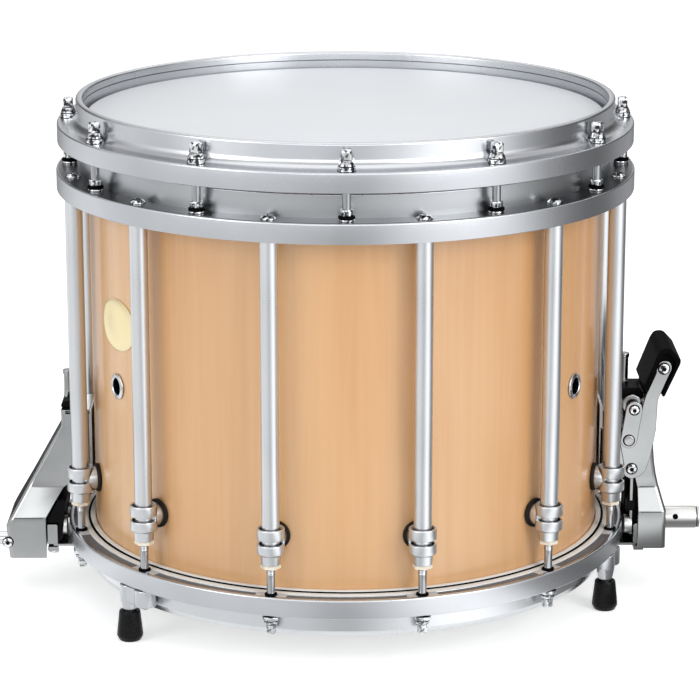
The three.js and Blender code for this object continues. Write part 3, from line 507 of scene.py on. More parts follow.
# Painted shade: a dark grey for the shaded floor of the lower hoop's channel and for lines along the
# housings' folds.
SHADE_GREY = dull("painted_shade_grey", "#626366", "#6e6f72", 0.5, gloss=0.1)
BOSS = dull("hoop_boss", "#bcbdc0", "#c6c7ca", 0.45, gloss=0.3)
PALE = dull("hoop_white", "#e3e3e0", "#ebebe8", 0.5, gloss=0.3)
BADGE = metal("badge_plate", "#e6d5a4", "#eedfb4", 0.3)
# Black metal and black plastic for real black parts; both also serve as painted shade in joins, gaps, sockets
# and recesses.
BLACK_METAL_AND_SHADE = dull("black_metal", "#161617", "#1d1d1f", 0.34, gloss=0.01)
BLACK_PLASTIC_AND_SHADE = dull("black_plastic", "#0d0d0e", "#121213", 0.3, gloss=0.002)
RUBBER = dull("rubber", "#09090a", "#111113", 0.25, relief=0.001, gloss=0.14)
GASKET = dull("gasket", "#1f1b19", "#272220", 0.6, gloss=0.1)
NYLON = dull("nylon", "#e6dcc8", "#efe7d7", 0.4)
HEAD = film("batter_film", "#dcdee2", "#e0e2e5", 0.42)
CLEAR = film("snare_film", "#d2d3d3", "#d7d8d8", 0.28)

# Shell and heads

SKIRT_IN, SKIRT_OUT = SHELL + 0.4, SHELL + 1.0


def shell():
    """A cylinder of plies with pointed edges and two vent holes."""
    wall, peak, outer_slope, inner_slope = 6.5, 1.5, 2.4, 5
    vent, drill_start, drill_length = 7.6, SHELL - 20, 30
    profile = rounded([
        (SHELL, SHELL_LOW + outer_slope, 3),
        (SHELL, SHELL_HIGH - outer_slope, 3),
        (SHELL - peak, SHELL_HIGH, 0.6),
        (SHELL - wall, SHELL_HIGH - inner_slope, 0.4),
        (SHELL - wall, SHELL_LOW + inner_slope, 0.4),
        (SHELL - peak, SHELL_LOW, 0.6),
    ], 3)
    drill = shifted(lying(turned(box(0, vent, 0, drill_length), FEW)), x=drill_start, z=VENT_Z)
    drills = [spun(drill, turn - 90) for turn in (-VENT_TURN, VENT_TURN)]
    wood = carved("shell_wood", turned(profile, 256), drills, MAPLE, 30)
    show("shell_wood", wood, slot="maple", replaces=["shell"])


def vent_rims():
    """A pressed metal rim in each vent hole."""
    bore, tube, flange, depth = 5.6, 7.2, 8.7, 9
    seat, edge, crown, dip = 0.15, 1.0, 1.9, 1.2
    profile = rounded([
        (bore, -depth),
        (tube, -depth),
        (tube, seat),
        (flange, seat, 0.5),
        (flange, edge, 0.5),
        (bore + 1, crown, 0.8),
        (bore, dip, 0.5),
    ])
    rim = mesh_of("vent_rim", shifted(lying(turned(profile)), x=SHELL + 0.1, z=VENT_Z), CHROME)
    for side, turn in (("left", -VENT_TURN), ("right", VENT_TURN)):
        show(f"vent_rim_{side}", rim, turn=turn, slot="chrome", replaces=[f"vent_grommet_{side}"])


def head_profile(level, inward, flesh, near, far, foot=0):
    """A stretched film, its skirt, and the cup of its flesh hoop from near to far.

    inward is the film's thickness, below 0 where the drum lies under it."""
    return rounded([
        (0, level),
        (SKIRT_OUT, level, 2.2),
        (SKIRT_OUT, near),
        (flesh, near, 0.6),
        (flesh, far, 0.6),
        (SKIRT_IN, far, foot),
        (SKIRT_IN, level + inward, 1.8),
        (0, level + inward),
    ])


def heads():
    batter = head_profile(FILM_HIGH, -0.5, flesh=182.3, near=324.3, far=317.8)
    piece("batter_film", turned(batter, 200), HEAD, slot="batter_film", replaces=["batter_head"])
    snare = head_profile(FILM_LOW, 0.5, flesh=179.3, near=42.8, far=50.4, foot=0.3)
    piece("snare_film", turned(snare, 200), CLEAR, slot="snare_film", replaces=["snare_head"])
    flesh_hoop = box(175.5, 179.0, 42.9, 53.6, (0.3, 0.3, 0.5, 0.4), 4)
    piece("snare_flesh_hoop", turned(flesh_hoop, MOST), PALE, slot="satin_aluminium")


# Hoops and ring

SKIM = 0.02


def seat_cutter(radius, level):
    """Clears the round seat of a washer in front, just over a flange."""
    return shifted(turned(box(0, radius, level + SKIM, level + 12), FEW), y=-CIRCLE)


def upper_hoop():
    """Standing collar, flange and hanging band in one, with twelve washer seats."""
    band_out, band_in = 195.5, 192.7
    collar_out, collar_in, collar_low = 182.6, 178.0, 324.6
    lip_in, lip_out, lip_low = 182.8, 184.4, 319.5
    flange_low = 328.2
    profile = rounded([
        (band_out, HOOP_LOW, 0.5),
        (band_out, HOOP_TOP, 1.1),
        (collar_out, HOOP_TOP, 6.3),
        (collar_out, COLLAR_TOP, 1.6),
        (collar_in, COLLAR_TOP, 1.6),
        (collar_in, collar_low, 0.3),
        (lip_in, collar_low, 0.2),
        (lip_in, lip_low, 0.3),
        (lip_out, lip_low, 0.4),
        (lip_out, flange_low, 0.8),
        (band_in, flange_low, 0.8),
        (band_in, HOOP_LOW, 0.4),
    ], 6)
    hoop = repeated("upper_hoop", profile, [seat_cutter(6.0, HOOP_TOP)], ALU, COUNT)
    show("upper_hoop", hoop, slot="satin_aluminium", replaces=["batter_hoop"])
    # Painted dark line: a thin ridge round the collar's inner face in the painted dark aluminium.
    ridge = box(collar_in - 0.3, collar_in + 0.2, 341.2, 341.9, (0.1, 0, 0, 0.1), 2)
    piece("upper_hoop_ridge", turned(ridge, MOST), PAINTED_DARK_METAL, slot="satin_aluminium")


def tube_ring():
    """The channel that the tubes hang from, with a seat for each rod and each screw."""
    band_out, band_in = 196.6, 194.4
    wall_out, wall_in, wall_top = 180.0, 176.3, 314.8
    skirt, flange_low = 178.6, RING_TOP - 3.2
    profile = rounded([
        (band_out, RING_LOW, 0.5),
        (band_out, RING_TOP, 1.1),
        (wall_out, RING_TOP, 0.6),
        (wall_out, wall_top, 0.8),
        (wall_in, wall_top, 0.8),
        (wall_in, RING_LOW, 0.4),
        (skirt, RING_LOW, 0.4),
        (skirt, flange_low, 1.0),
        (band_in, flange_low, 0.8),
        (band_in, RING_LOW, 0.4),
    ], 6)
    ring = repeated("tube_ring", profile, [seat_cutter(6.2, RING_TOP)], ALU, 2 * COUNT, sides=312)
    show("tube_ring", ring, slot="satin_aluminium", replaces=["top_ring"])
    # Painted shade: a thin sleeve of darker metal over the ring's wall stands in for the shade under the
    # upper hoop.
    wall = box(wall_out, wall_out + 0.3, RING_TOP + 0.1, wall_top - 0.8)
    piece("tube_ring_shade_sleeve", turned(wall, MOST), WALL_PAINTED_SHADE, slot="satin_aluminium")
    # Painted dark reflection: a thin sheet of darker metal on the ring's top, for the shaded hoop above that
    # it mirrors.
    dark_top_sheet = box(wall_out + 0.2, band_out - 1.3, RING_TOP + SKIM, RING_TOP + 0.15)
    piece("tube_ring_painted_dark_top", turned(dark_top_sheet, MOST), PAINTED_DARK_METAL, slot="satin_aluminium")


def lower_hoop_profile():
    band_out, channel_out, channel_in = 194.0, 190.9, 184.6
    lip_in, lip_top, channel_floor = 181.3, 51.9, 51.3
    wall_in, wall_low, foot_in, foot_low, foot_out = 177.3, 42.6, 177.0, 37.1, 180.6
    return rounded([
        (band_out, LOWER_HOOP_LOW, 1.0),
        (band_out, LOWER_HOOP_TOP, 1.1),
        (channel_out, LOWER_HOOP_TOP, 0.5),
        (channel_out - 0.5, channel_floor, 0.3),
        (channel_in, channel_floor, 0.3),
        (channel_in, lip_top, 0.3),
        (lip_in, lip_top, 0.3),
        (lip_in, wall_low, 0.3),
        (wall_in, wall_low, 0.3),
        (foot_in, foot_low),
        (foot_out, foot_low),
        (foot_out, LOWER_HOOP_LOW, 1.8),
    ], 5)


def lower_hoop_collars():
    """The two halves of the skirt under the lower hoop, with a gate for the snares between them."""
    low, high, gate_half, gate_radius = 22.9, 38.6, 29.0, 178.0
    profile = rounded([
        (177.1, high),
        (176.2, low + 2.7, 1.0),
        (177.2, low, 1.4),
        (179.4, low, 1.4),
        (180.6, low + 4.1, 2.0),
        (180.55, high),
    ], 5)
    gate = math.degrees(math.asin(gate_half / gate_radius))
    return together(*[turned(profile, 140, start=start + gate, sweep=180 - 2 * gate) for start in (0, 180)])


def lower_hoop():
    """The hoop under the snare head, with the rings that show in its open channel, two of them painted shade,
    and twelve bosses.
    """
    boss_half = 3.1
    hoop = turned(lower_hoop_profile(), 300)
    piece("lower_hoop", hoop, ALU, 30, slot="satin_aluminium", replaces=["bottom_hoop"])
    # The skirt is drawn in the lighter copy of the aluminium: painted light.
    piece("lower_hoop_collar", lower_hoop_collars(), RIM_PAINTED_BRIGHT, 30, slot="satin_aluminium")
    # Painted shade: a dark grey strip on the floor of the channel.
    channel = box(184.4, 190.5, 51.2, 51.6)
    piece("lower_hoop_channel", turned(channel, MOST), SHADE_GREY, slot="satin_aluminium")
    film_edge = rounded([(180.5, 46), (184.2, 46), (184.2, 52.5, 0.4), (180.5, 52.7, 0.3)], 3)
    piece("snare_film_edge", turned(film_edge, MOST), PALE, slot="snare_film")
    # Painted shade: a black ring in the gap between the flesh hoop and the film's edge.
    gap = box(178.9, 180.6, 46, 53.2, (0, 0, 0.3, 0.3))
    piece("snare_film_shade_ring", turned(gap, MOST), BLACK_PLASTIC_AND_SHADE, slot="black_plastic")
    outline = box(184.0, 190.7, 47.5, 52.3, (0, 0, 0.4, 0.4))
    boss = mesh_of("hoop_boss", turned(outline, 8, start=-boss_half, sweep=2 * boss_half), BOSS)
    for n, turn in around(TUBE_TURN):
        show(f"hoop_boss_{n}", boss, turn=turn, slot="satin_aluminium", bevel=0.4)


# Upper rods


def rod_head():
    """Washer, flange and square key of an upper rod, over the hoop."""
    flange = rounded([(0, 3.2), (5.2, 3.2, 0.3), (5.2, 4.1, 0.8), (3.8, 6.9, 0.7), (0, 6.9)])
    washer = disc(5.6, 0.05, 2.9, 0.35, SOME)
    return together(washer, turned(flange, SOME), square_bar(6.3, 7.2, 13.6, 0.7, 1.3))


def upper_rods():
    """Twelve rods that turn, and the sleeve, seat and washer of each on the ring, which don't."""
    # Painted shadow: thin black rings under the washer and in the joins between washer, flange and key.
    gap_shadows = together(disc(5.8, SKIM, 0.4, 0.1), disc(5.35, 2.8, 3.3, 0.1), disc(3.7, 6.7, 7.3, 0.1))
    shaft_low, shaft_top = 289.0, HOOP_TOP - 2
    head = on_circle("rod", shifted(rod_head(), z=HOOP_TOP), CHROME_PAINTED_REFLECTION, 32)
    shaft = on_circle("rod_shaft", disc(2.8, shaft_low, shaft_top, 0.1, 24), ROD)
    gap_shadow = on_circle("rod_gap_shadow", shifted(gap_shadows, z=HOOP_TOP), BLACK_METAL_AND_SHADE)
    sleeve = on_circle("rod_sleeve", disc(4.2, RING_TOP + 3.6, RING_TOP + 7.8, 0.5), CHROME_PAINTED_REFLECTION, 40)
    seat = on_circle("rod_seat", disc(5.0, RING_TOP + 0.05, RING_TOP + 1.6, 0.4), CHROME_PAINTED_REFLECTION)
    washer = on_circle("rod_washer", disc(5.3, RING_TOP + 1.7, RING_TOP + 3.5), BLACK_PLASTIC_AND_SHADE)
    for n, turn in around():
        rod = {"body": f"rod_{n}", "turn": turn}
        show(f"rod_{n}", head, slot="chrome", replaces=[f"tension_rod_{n}"], **rod)
        show(f"rod_shaft_{n}", shaft, slot="chrome", **rod)
        show(f"rod_gap_shadow_{n}", gap_shadow, **rod)
        show(f"rod_sleeve_{n}", sleeve, turn=turn, slot="chrome")
        show(f"rod_seat_{n}", seat, turn=turn, slot="chrome")
        show(f"rod_washer_{n}", washer, turn=turn, slot="black_plastic")


# Tubes and lugs

LUG_BORE, LUG_OUT = 7.6, 9.05


def tube_kinds():
    """(name, mesh, slot, node) of a tube, its screw with a cross drive, and a black ring painted under the
    screw as its shadow.
    """
    low, high, radius = 81.7, 296.0, 5.85
    arm_half, arm_width, drive_floor = 3.4, 0.55, 1.7
    tube = on_circle("tube", turned(box(0, radius, low, high)), TUBE)
    pan = rounded([(0, 0), (5.0, 0, 0.2), (5.0, 1.0, 0.5), (3.2, 2.7, 1.6), (0, 3.2)], 5)
    arm = box(-arm_half, arm_half, -arm_width, arm_width)
    arms = [slab(outline, drive_floor, 6, "z") for outline in (arm, [(v, u) for u, v in arm])]
    place = {"x": CIRCLE, "z": RING_TOP}
    cutters = [shifted(cutter, **place) for cutter in arms]
    screw = carved("tube_screw", shifted(turned(pan, SOME), **place), cutters, CHROME_PAINTED_REFLECTION, 40)
    # Painted shadow: a thin black ring under the pan head.
    rim = mesh_of("tube_screw_shadow", shifted(disc(5.3, -0.3, 0.25, 0.1), **place), BLACK_METAL_AND_SHADE)
    return [
        ("tube_body", tube, "tube_aluminium", "tube"),
        ("tube_screw", screw, "chrome", None),
        ("tube_screw_shadow", rim, None, None),
    ]


def lug_casting():
    """Two collars round the foot of a tube, the bridge behind them and the post to the shell."""
    lower_low, lower_high, upper_low, upper_high = 73.3, 87.4, 90.6, 97.8
    upper = box(LUG_BORE, LUG_OUT, upper_low, upper_high, (0.2, 0.4, 0.6, 0.4))
    lower = rounded([
        (0, lower_low),
        (6.4, lower_low, 0.5),
        (6.6, 79.6, 0.4),
        (8.0, 80.1, 0.5),
        (LUG_OUT, 81.2, 0.6),
        (LUG_OUT, lower_high, 0.5),
        (LUG_BORE, lower_high, 0.3),
        (LUG_BORE, 82),
        (0, 82),
    ], 3)
    bridge = box(LUG_BORE, LUG_OUT - 0.05, lower_high - 1.4, upper_low + 1.4)
    post = rounded([(0, 0), (7.9, 0, 0.4), (7.7, 6.4, 2.6), (5.2, 9.5, 1.5), (0, 9.5)])
    return together(
        turned(upper),
        turned(lower),
        turned(bridge, 20, start=112, sweep=136),
        shifted(lying(turned(post, SOME)), x=SHELL + 2.3 - CIRCLE, z=LUG_Z),
    )


def lug_kinds():
    """(name, mesh, slot, node) of a lug, its gasket, its drain tip and the two black liners in its collars,
    which also serve as painted shade for the recess in each collar.
    """
    gasket = shifted(lying(disc(9.7, 0, 2.3, 0.7, SOME)), x=SHELL + 0.1, z=LUG_Z)
    tip = shifted(together(disc(1.5, 78.2, 82.5, 0.4, 16), disc(2.0, 79.6, 82.0, 0.4, 16)), x=SHELL + 5.2)
    # Partly painted shade: black liners recessed in the collars' bores, drawn black also for the shade in
    # those recesses.
    liner = turned(box(5.9, LUG_BORE + 0.3, 83.0, 85.6), SOME)
    liners = together(liner, shifted(liner, z=9.9))
    return [
        ("lug_body", on_circle("lug_body", lug_casting(), LUG, 32), "satin_aluminium", "lug"),
        ("lug_gasket", mesh_of("lug_gasket", gasket, GASKET), "rubber", None),
        ("lug_tip", mesh_of("lug_tip", tip, CHROME_PAINTED_REFLECTION), "chrome", None),
        ("lug_liner", on_circle("lug_liner", liners, BLACK_PLASTIC_AND_SHADE), "black_plastic", None),
    ]


def lower_rod_kinds():
    """(name, mesh, slot, node) of a lower rod and its washer."""
    shaft = together(disc(2.7, 40.0, 67.0, 0.1, 24), turned(threaded(2.9, 66.0, 70.2), 24))
    washer = disc(4.1, 51.6, 53.7, 0.5)
    return [
        ("lower_rod", on_circle("lower_rod", shaft, ROD), "chrome", None),
        ("lower_washer", on_circle("lower_washer", washer, BLACK_PLASTIC_AND_SHADE), "black_plastic", None),
    ]


def lower_key_kinds():
    """(name, mesh, slot, node) of the key under the lower hoop, and the black rings painted as shade in the
    gaps between its steps.
    """
    bar = moved(square_bar(5.4, -32.4, -26.2), Matrix.Scale(-1, 4, (0, 0, 1)))
    head = together(disc(5.7, 36.0, 38.5, 0.35, SOME), disc(4.6, 33.2, 35.1, 0.4), bar)
    # Painted shade: black rings in the gaps between washer, collar and key.
    gap_shades = together(disc(5.75, 38.5, 39.5, 0.1), disc(4.9, 35.0, 36.1, 0.1), disc(3.1, 32.3, 33.3, 0.1))
    return [
        ("lower_head", on_circle("lower_head", head, KEY_PAINTED_REFLECTION, 32), "chrome", None),
        ("lower_head_shade_rings", on_circle("lower_head_shade_rings", gap_shades, BLACK_METAL_AND_SHADE), None, None),
    ]


def nylon_meshes():
    """The same hexagonal washer in three turns, as hands leave it."""
    return [on_circle("lug_nylon", spun(hexagon(11.4, 71.0, 73.2, 0.5), turn), NYLON) for turn in (0, 17, 41)]


def tubes_and_lugs():
    """Twelve tubes, lugs and lower rods. A rod over a foot has its key inside the foot."""
    over_feet = {turn % 360 for turn in FEET}
    nylons = nylon_meshes()
    first, rods, keys = tube_kinds() + lug_kinds(), lower_rod_kinds(), lower_key_kinds()
    for i, (n, turn) in enumerate(around(TUBE_TURN)):
        kinds = first + [("lug_nylon", nylons[i % len(nylons)], None, None)] + rods
        if turn not in over_feet:
            kinds = kinds + keys
        for name, mesh, slot, node in kinds:
            show(f"{name}_{n}", mesh, turn=turn, slot=slot, replaces=[f"{node}_{n}"] if node else ())


# Feet


def foot_casting():
    """A boss round the lower rod, a leg beside it and the web between them."""
    boss_low, top = 27.4, 39.3
    boss = box(0, 7.3, boss_low, top, (0, 1.0, 0.6, 0))
    leg = rounded(
        [(0, 12), (4.0, 12), (4.0, 21.4), (4.8, 21.6, 0.4), (6.2, 29.6, 3), (6.2, top, 0.6), (0, top)],
    )
    span = math.radians(LEG_TURN) * CIRCLE
    web = box(-span, 0, boss_low + 0.8, top - 0.1, (1, 1, 1, 1), 2)
    return together(
        shifted(turned(boss, SOME), x=CIRCLE),
        spun(shifted(turned(leg, SOME), x=FOOT_CIRCLE), -LEG_TURN),
        slab(web, CIRCLE - 5.6, CIRCLE + 5.4, "x"),
    )


def feet():
    """Three castings under the lower hoop, each on a rubber tip that stands on the floor."""
    top, bore, bore_low = 20.8, 4.9, 12
    cup = [(0, 0), (7.2, 0, 1.2), (8.9, 3.4, 2.5), (7.0, top, 1.2), (bore, top, 0.6), (bore, bore_low)]
    tip = rounded(cup + [(0, bore_low)], 5)
    casting = mesh_of("foot_casting", foot_casting(), ALU, 32)
    rubber = mesh_of("foot_rubber", shifted(turned(tip), x=FOOT_CIRCLE), RUBBER)
    screw = on_circle("foot_screw", disc(2.5, 25.4, 28.0, 0.5, 20), BLACK_PLASTIC_AND_SHADE)
    for i, turn in enumerate(FEET):
        n = f"{i + 1:02d}"
        how = {"slot": "satin_aluminium", "replaces": [f"foot_bracket_{n}"], "bevel": 0.4}
        show(f"foot_casting_{n}", casting, turn=turn, **how)
        show(f"foot_rubber_{n}", rubber, turn=turn - LEG_TURN, slot="rubber", replaces=[f"foot_tip_{n}"])
        show(f"foot_screw_{n}", screw, turn=turn)

# Strainer and butt end

FRAME_HALF = 22.0
BULGE_HALF = 28.0
SHEET = 2.0
PIVOT = Vector((198.3, 88.0))
LEVER_IN, LEVER_OUT = 22.4, 24.4
LINK_BACK, LINK_FRONT = -LEVER_OUT - 0.4, -LEVER_OUT - 2.4
LOW_PIN = PIVOT + Vector((-2.6, 21.2))
HIGH_PIN = PIVOT + Vector((0.7, 43.0))


def bend(x, y, radius, steps=5):
    """The points of a round corner between a front face and an outer face."""
    turns = [math.pi / 2 * k / steps for k in range(steps + 1)]
    return [(x + radius * math.sin(a), y - radius * math.cos(a)) for a in turns]


def housing(levels, corner=3.2):
    """A channel of bent sheet open towards the drum. levels are (height, inner x, outer x, half width)."""
    rings = []
    for z, inner, outer, half in levels:
        outside = [(inner, -half)] + bend(outer - corner, corner - half, corner)
        inside = [(inner, SHEET - half)] + bend(outer - corner, corner - half, corner - SHEET)
        outside += [(x, -y) for x, y in reversed(outside)]
        inside += [(x, -y) for x, y in reversed(inside)]
        rings.append([(x, y, z) for x, y in outside + inside[::-1]])
    return loft(rings)


def floor_plate(inner, outer, low):
    """The plate that closes a housing below."""
    half = BULGE_HALF - 1
    outline = rounded([(inner, -half, 1), (outer, -half, 2), (outer, half, 2), (inner, half, 1)], 3)
    return slab(outline, low, low + SHEET, "z")


def seat_plate(low, high):
    """The plate between a housing and the shell."""
    return slab(box(175.6, 177.6, low, high, (0.4,) * 4, 2), -FRAME_HALF, FRAME_HALF)


def standoffs():
    """Two round spacers between the lower hoop and a housing."""
    spacer = shifted(lying(disc(6.6, 0, 5.4, 0.4, SOME)), x=194.3, z=STANDOFF_Z)
    return together(shifted(spacer, y=-18), shifted(spacer, y=18))


def guide(low, high, top):
    """A guide rod with a wider head from high to top."""
    return together(disc(3.1, low, high), disc(3.7, high, top, 0.6))


def clamp():
    """A snare clamp on +X: an upper block over the end plate and a lower plate under it."""
    inner, outer, half = 200.9, 207.9, 25.1
    above = slab(box(inner, outer, 33.9, 48.1, (0.4, 0.4, 1, 1)), -half, half)
    below = slab(box(inner, outer, 28.9, 31.7, (0.6, 0.6, 0.4, 0.4)), -half, half)
    return together(above, below)


def fold_shade_line(name, x0, x1, z, face, butt=False):
    """A painted shade line along a fold, across the front and back faces of a housing."""
    half, proud, sunk = 0.35, 0.12, 0.3
    line = box(x0, x1, z - half, z + half)
    lines = together(slab(line, -face - proud, -face + sunk), slab(line, face - sunk, face + proud))
    piece(name, mirrored(lines) if butt else lines, SHADE_GREY, slot="bright_steel")


def bolt(name, x, z, face, radius, rise, socket=True, mat=CHROME_PAINTED_REFLECTION, **how):
    """A pan head facing the front on a black ring painted as its shadow, with a black hexagon painted as the
    shade in its socket.
    """
    head = rounded([(0, 0), (radius, 0, 0.2), (radius, rise, 0.5 * rise), (0, rise)])
    piece(name, facing(turned(head, SOME), x, z, face), mat, slot="chrome", **how)
    # Painted shadow and shade: a black ring under the head, and a black hexagon for the dark of its socket.
    dark = [facing(disc(radius + 0.55, 0, 0.3, 0.1, SOME), x, z, face)]
    if socket:
        dark.append(facing(hexagon(0.8 * radius, rise - 0.1, rise + 0.15, 0.05), x, z, face))
    piece(name + "_dark", together(*dark), BLACK_METAL_AND_SHADE, slot="black_metal", **how)


def strainer_housing():
    """The bent steel frame: a bulge over the clamp, and a narrow neck up to the lever."""
    low, neck, wing_low, top, sheet_top = 31.0, 198.0, 84, 117, 114
    levels = [
        (low, 203.3, 223.0, BULGE_HALF),
        (57.0, 203.3, 223.0, BULGE_HALF),
        (58.6, 203.3, 222.6, BULGE_HALF - 0.4),
        (73.0, 203.0, 218.4, FRAME_HALF + 0.3),
        (74.6, 202.6, 217.8, FRAME_HALF),
        (83.0, 200.6, 215.8, FRAME_HALF),
        (92.0, 198.6, 214.4, FRAME_HALF),
        (101.0, neck, 213.6, FRAME_HALF),
        (110.0, neck, 213.2, FRAME_HALF),
        (117.0, neck, 213.1, FRAME_HALF),
    ]
    wing = box(176.0, 199, wing_low, top)
    plates = together(
        housing(levels),
        floor_plate(209, 222, low),
        slab(wing, -FRAME_HALF, SHEET - FRAME_HALF),
        slab(wing, FRAME_HALF - SHEET, FRAME_HALF),
        slab(box(neck, neck + SHEET, LOWER_HOOP_LOW, top), -FRAME_HALF, FRAME_HALF),
        slab(box(185.3, neck, sheet_top, top), -FRAME_HALF, FRAME_HALF),
    )
    piece("strainer_housing", plates, STEEL, slot="bright_steel", replaces=["strainer_frame"], bevel=0.35)


def strainer_fittings():
    """What fills the frame: seat, standoffs, guide rod, black backing, clamp side and a nut."""
    piece("strainer_seat", seat_plate(84, 133), ZINC, slot="bright_steel")
    piece("strainer_standoffs", standoffs(), GREY, slot="satin_aluminium")
    piece("guide_rod", shifted(guide(114, 162, 165), x=193.6), STEEL, slot="chrome")
    top, hollow = 84, [(199.8, 36, 3), (197, 50, 6), (197.6, 64, 8)]
    backing = rounded([(200.4, top, 1), (203.6, top, 1), (203.2, 31.5, 1)] + hollow)
    piece("strainer_backing", slab(backing, -19.6, 19.6), BLACK_METAL_AND_SHADE, slot="black_metal", bevel=0.5)
    clamp_side = slab(box(200.6, 204.0, 35, 47), -25, -19)
    piece("carriage_clamp_side", clamp_side, CHROME, body="carriage", slot="bright_steel", bevel=0.5)
    nut = shifted(lying(hexagon(9.4, 0, 5.6)), x=195.8, y=-19, z=60.5)
    piece("strainer_nut", nut, BLACK_METAL_AND_SHADE, slot="black_metal", bevel=0.3)


def from_pivot(points):
    """Corners given from the lever's pivot, in the drum's own places."""
    return [(PIVOT.x + p[0], PIVOT.y + p[1], *p[2:]) for p in points]


def lever_plates():
    """The lever's two side plates and the web between them."""
    round_pivot = [(-5.4, -5.0, 4), (0.0, -7.7, 4), (5.4, -5.8, 4), (9.7, -1.5, 3)]
    outer_edge = [(13.0, 9.2, 8), (16.2, 28.2, 18), (16.7, 48.8, 20), (23.2, 64.9, 8)]
    tip = [(26.6, 72.6, 5), (24.0, 77.3, 4), (18.6, 77.2, 4), (15.0, 73.2, 4)]
    inner_edge = [(15.6, 69.4, 6), (8.4, 52.2, 10), (6.9, 46.0, 8), (5.1, 33.9, 3), (-1.1, 29.6, 2)]
    shoulder = [(-7.0, 27.7, 3), (-8.9, 21.9, 4), (-7.8, 15.4, 6), (-5.4, 3.1, 5)]
    outline = rounded(from_pivot(round_pivot + outer_edge + tip + inner_edge + shoulder), 5)
    web = from_pivot([(14.4, 31), (16.4, 31), (17.0, 48), (15.0, 48)])
    plates = together(
        slab(outline, -LEVER_OUT, -LEVER_IN),
        slab(outline, LEVER_IN, LEVER_OUT),
        slab(web, -LEVER_IN - 1, LEVER_IN + 1),
    )
    how = {"slot": "bright_steel", "replaces": ["throw_off_lever"], "bevel": 0.35}
    piece("lever_plates", plates, STEEL, body="lever", **how)


def lever_screws():
    """The pivot screw in front and its rounded end behind."""
    radius, rise = 3.7, 2.2
    bolt("lever_pivot_screw", PIVOT.x, PIVOT.y, -LEVER_OUT, radius, rise, body="lever")
    far = spun(facing(disc(radius, 0, rise, 0.8), PIVOT.x, -PIVOT.y, -LEVER_OUT), 180, "X")
    piece("lever_pivot_far", far, CHROME, body="lever", slot="chrome")


def lever_grip():
    """The rubber grip, with a pocket on each side for a lever plate, and its screw."""
    half, pocket_floor, beyond = 25.6, 22.1, 40
    inner_side = [(6.4, 57.6, 2), (15.6, 81.6, 4), (18.4, 86.4, 5)]
    outer_side = [(24.6, 86.6, 5), (31.8, 78.9, 2.5), (31.8, 76.0, 3), (21.3, 52.2, 1)]
    underside = [(19.2, 52.4, 1), (21.1, 59.3, 2), (12.2, 58.4, 2), (8.3, 55.2, 1.5)]
    outline = rounded(from_pivot(inner_side + outer_side + underside), 5)
    open_end, closed_end = [(5.4, 42), (17.3, 46), (24.3, 64.3)], [(28.6, 73.6), (28.2, 78.0), (24.0, 83.0)]
    pocket = from_pivot(open_end + closed_end + [(20.0, 83.0), (9.6, 55.5)])
    pockets = [slab(pocket, -beyond, -pocket_floor), slab(pocket, pocket_floor, beyond)]
    grip = carved("lever_rubber", slab(outline, -half, half), pockets, BLACK_PLASTIC_AND_SHADE, 32)
    show("lever_rubber", grip, body="lever", slot="black_plastic", replaces=["lever_grip"], bevel=0.8)
    bolt("grip_screw", PIVOT.x + 20.5, PIVOT.y + 71.9, -LEVER_OUT, 3.8, 2.0, body="lever")


def link():
    """The link in front of the lever, with a round end at each pin."""
    half, steps = 5.7, 12
    lean = (HIGH_PIN - LOW_PIN).normalized()
    side = Vector((lean.y, -lean.x)) * half
    outline = []
    for centre, base in ((HIGH_PIN, 0.0), (LOW_PIN, math.pi)):
        for k in range(steps + 1):
            angle = base + math.pi * k / steps
            outline.append(tuple(centre + side * math.cos(angle) + lean * half * math.sin(angle)))
    how = {"slot": "bright_steel", "replaces": ["lever_link"], "bevel": 0.35}
    piece("link_plate", slab(outline, LINK_FRONT, LINK_BACK), STEEL, body="link", **how)
    bolt("link_rivet", *LOW_PIN, LINK_FRONT, 3.7, 1.3, socket=False, mat=STEEL, body="link")
    bolt("link_screw", *HIGH_PIN, LINK_FRONT, 3.4, 2.0, body="link")


def carriage():
    """The block on the guide rod, the strap down to the clamp, the roller under the link, and the clamp."""
    inner, outer, low, top = 186.6, 206.4, 135.3, 143.2
    strap_in, strap_out, strap_low, strap_half = 195.3, 197.7, 34.6, 8.6
    outline = rounded([
        (inner, low, 1),
        (outer, low, 1),
        (outer, top - 3.4, 1),
        (outer - 3, top, 1.5),
        (inner + 3, top, 1.5),
        (inner, top - 2.2, 1),
    ], 3)
    parts = together(
        slab(outline, -13.6, 3.3),
        slab(box(inner, outer, low, top - 2.7), 3.2, 21.4),
        slab(box(strap_in, strap_out, strap_low, top - 1.2), -strap_half, strap_half),
        slab(box(strap_in, 201.9, strap_low, strap_low + 3.6), -strap_half, strap_half),
    )
    how = {"slot": "black_metal", "replaces": ["snare_carriage"], "bevel": 0.5}
    piece("carriage_block", parts, BLACK_METAL_AND_SHADE, body="carriage", **how)
    roller = facing(disc(7.0, 0, 4.8, 0.6, SOME), HIGH_PIN.x - 0.8, HIGH_PIN.y + 1.6, -14.2)
    piece("carriage_roller", roller, STEEL, body="carriage", slot="bright_steel")
    piece("carriage_clamp", clamp(), STEEL, body="carriage", slot="bright_steel", bevel=0.3)


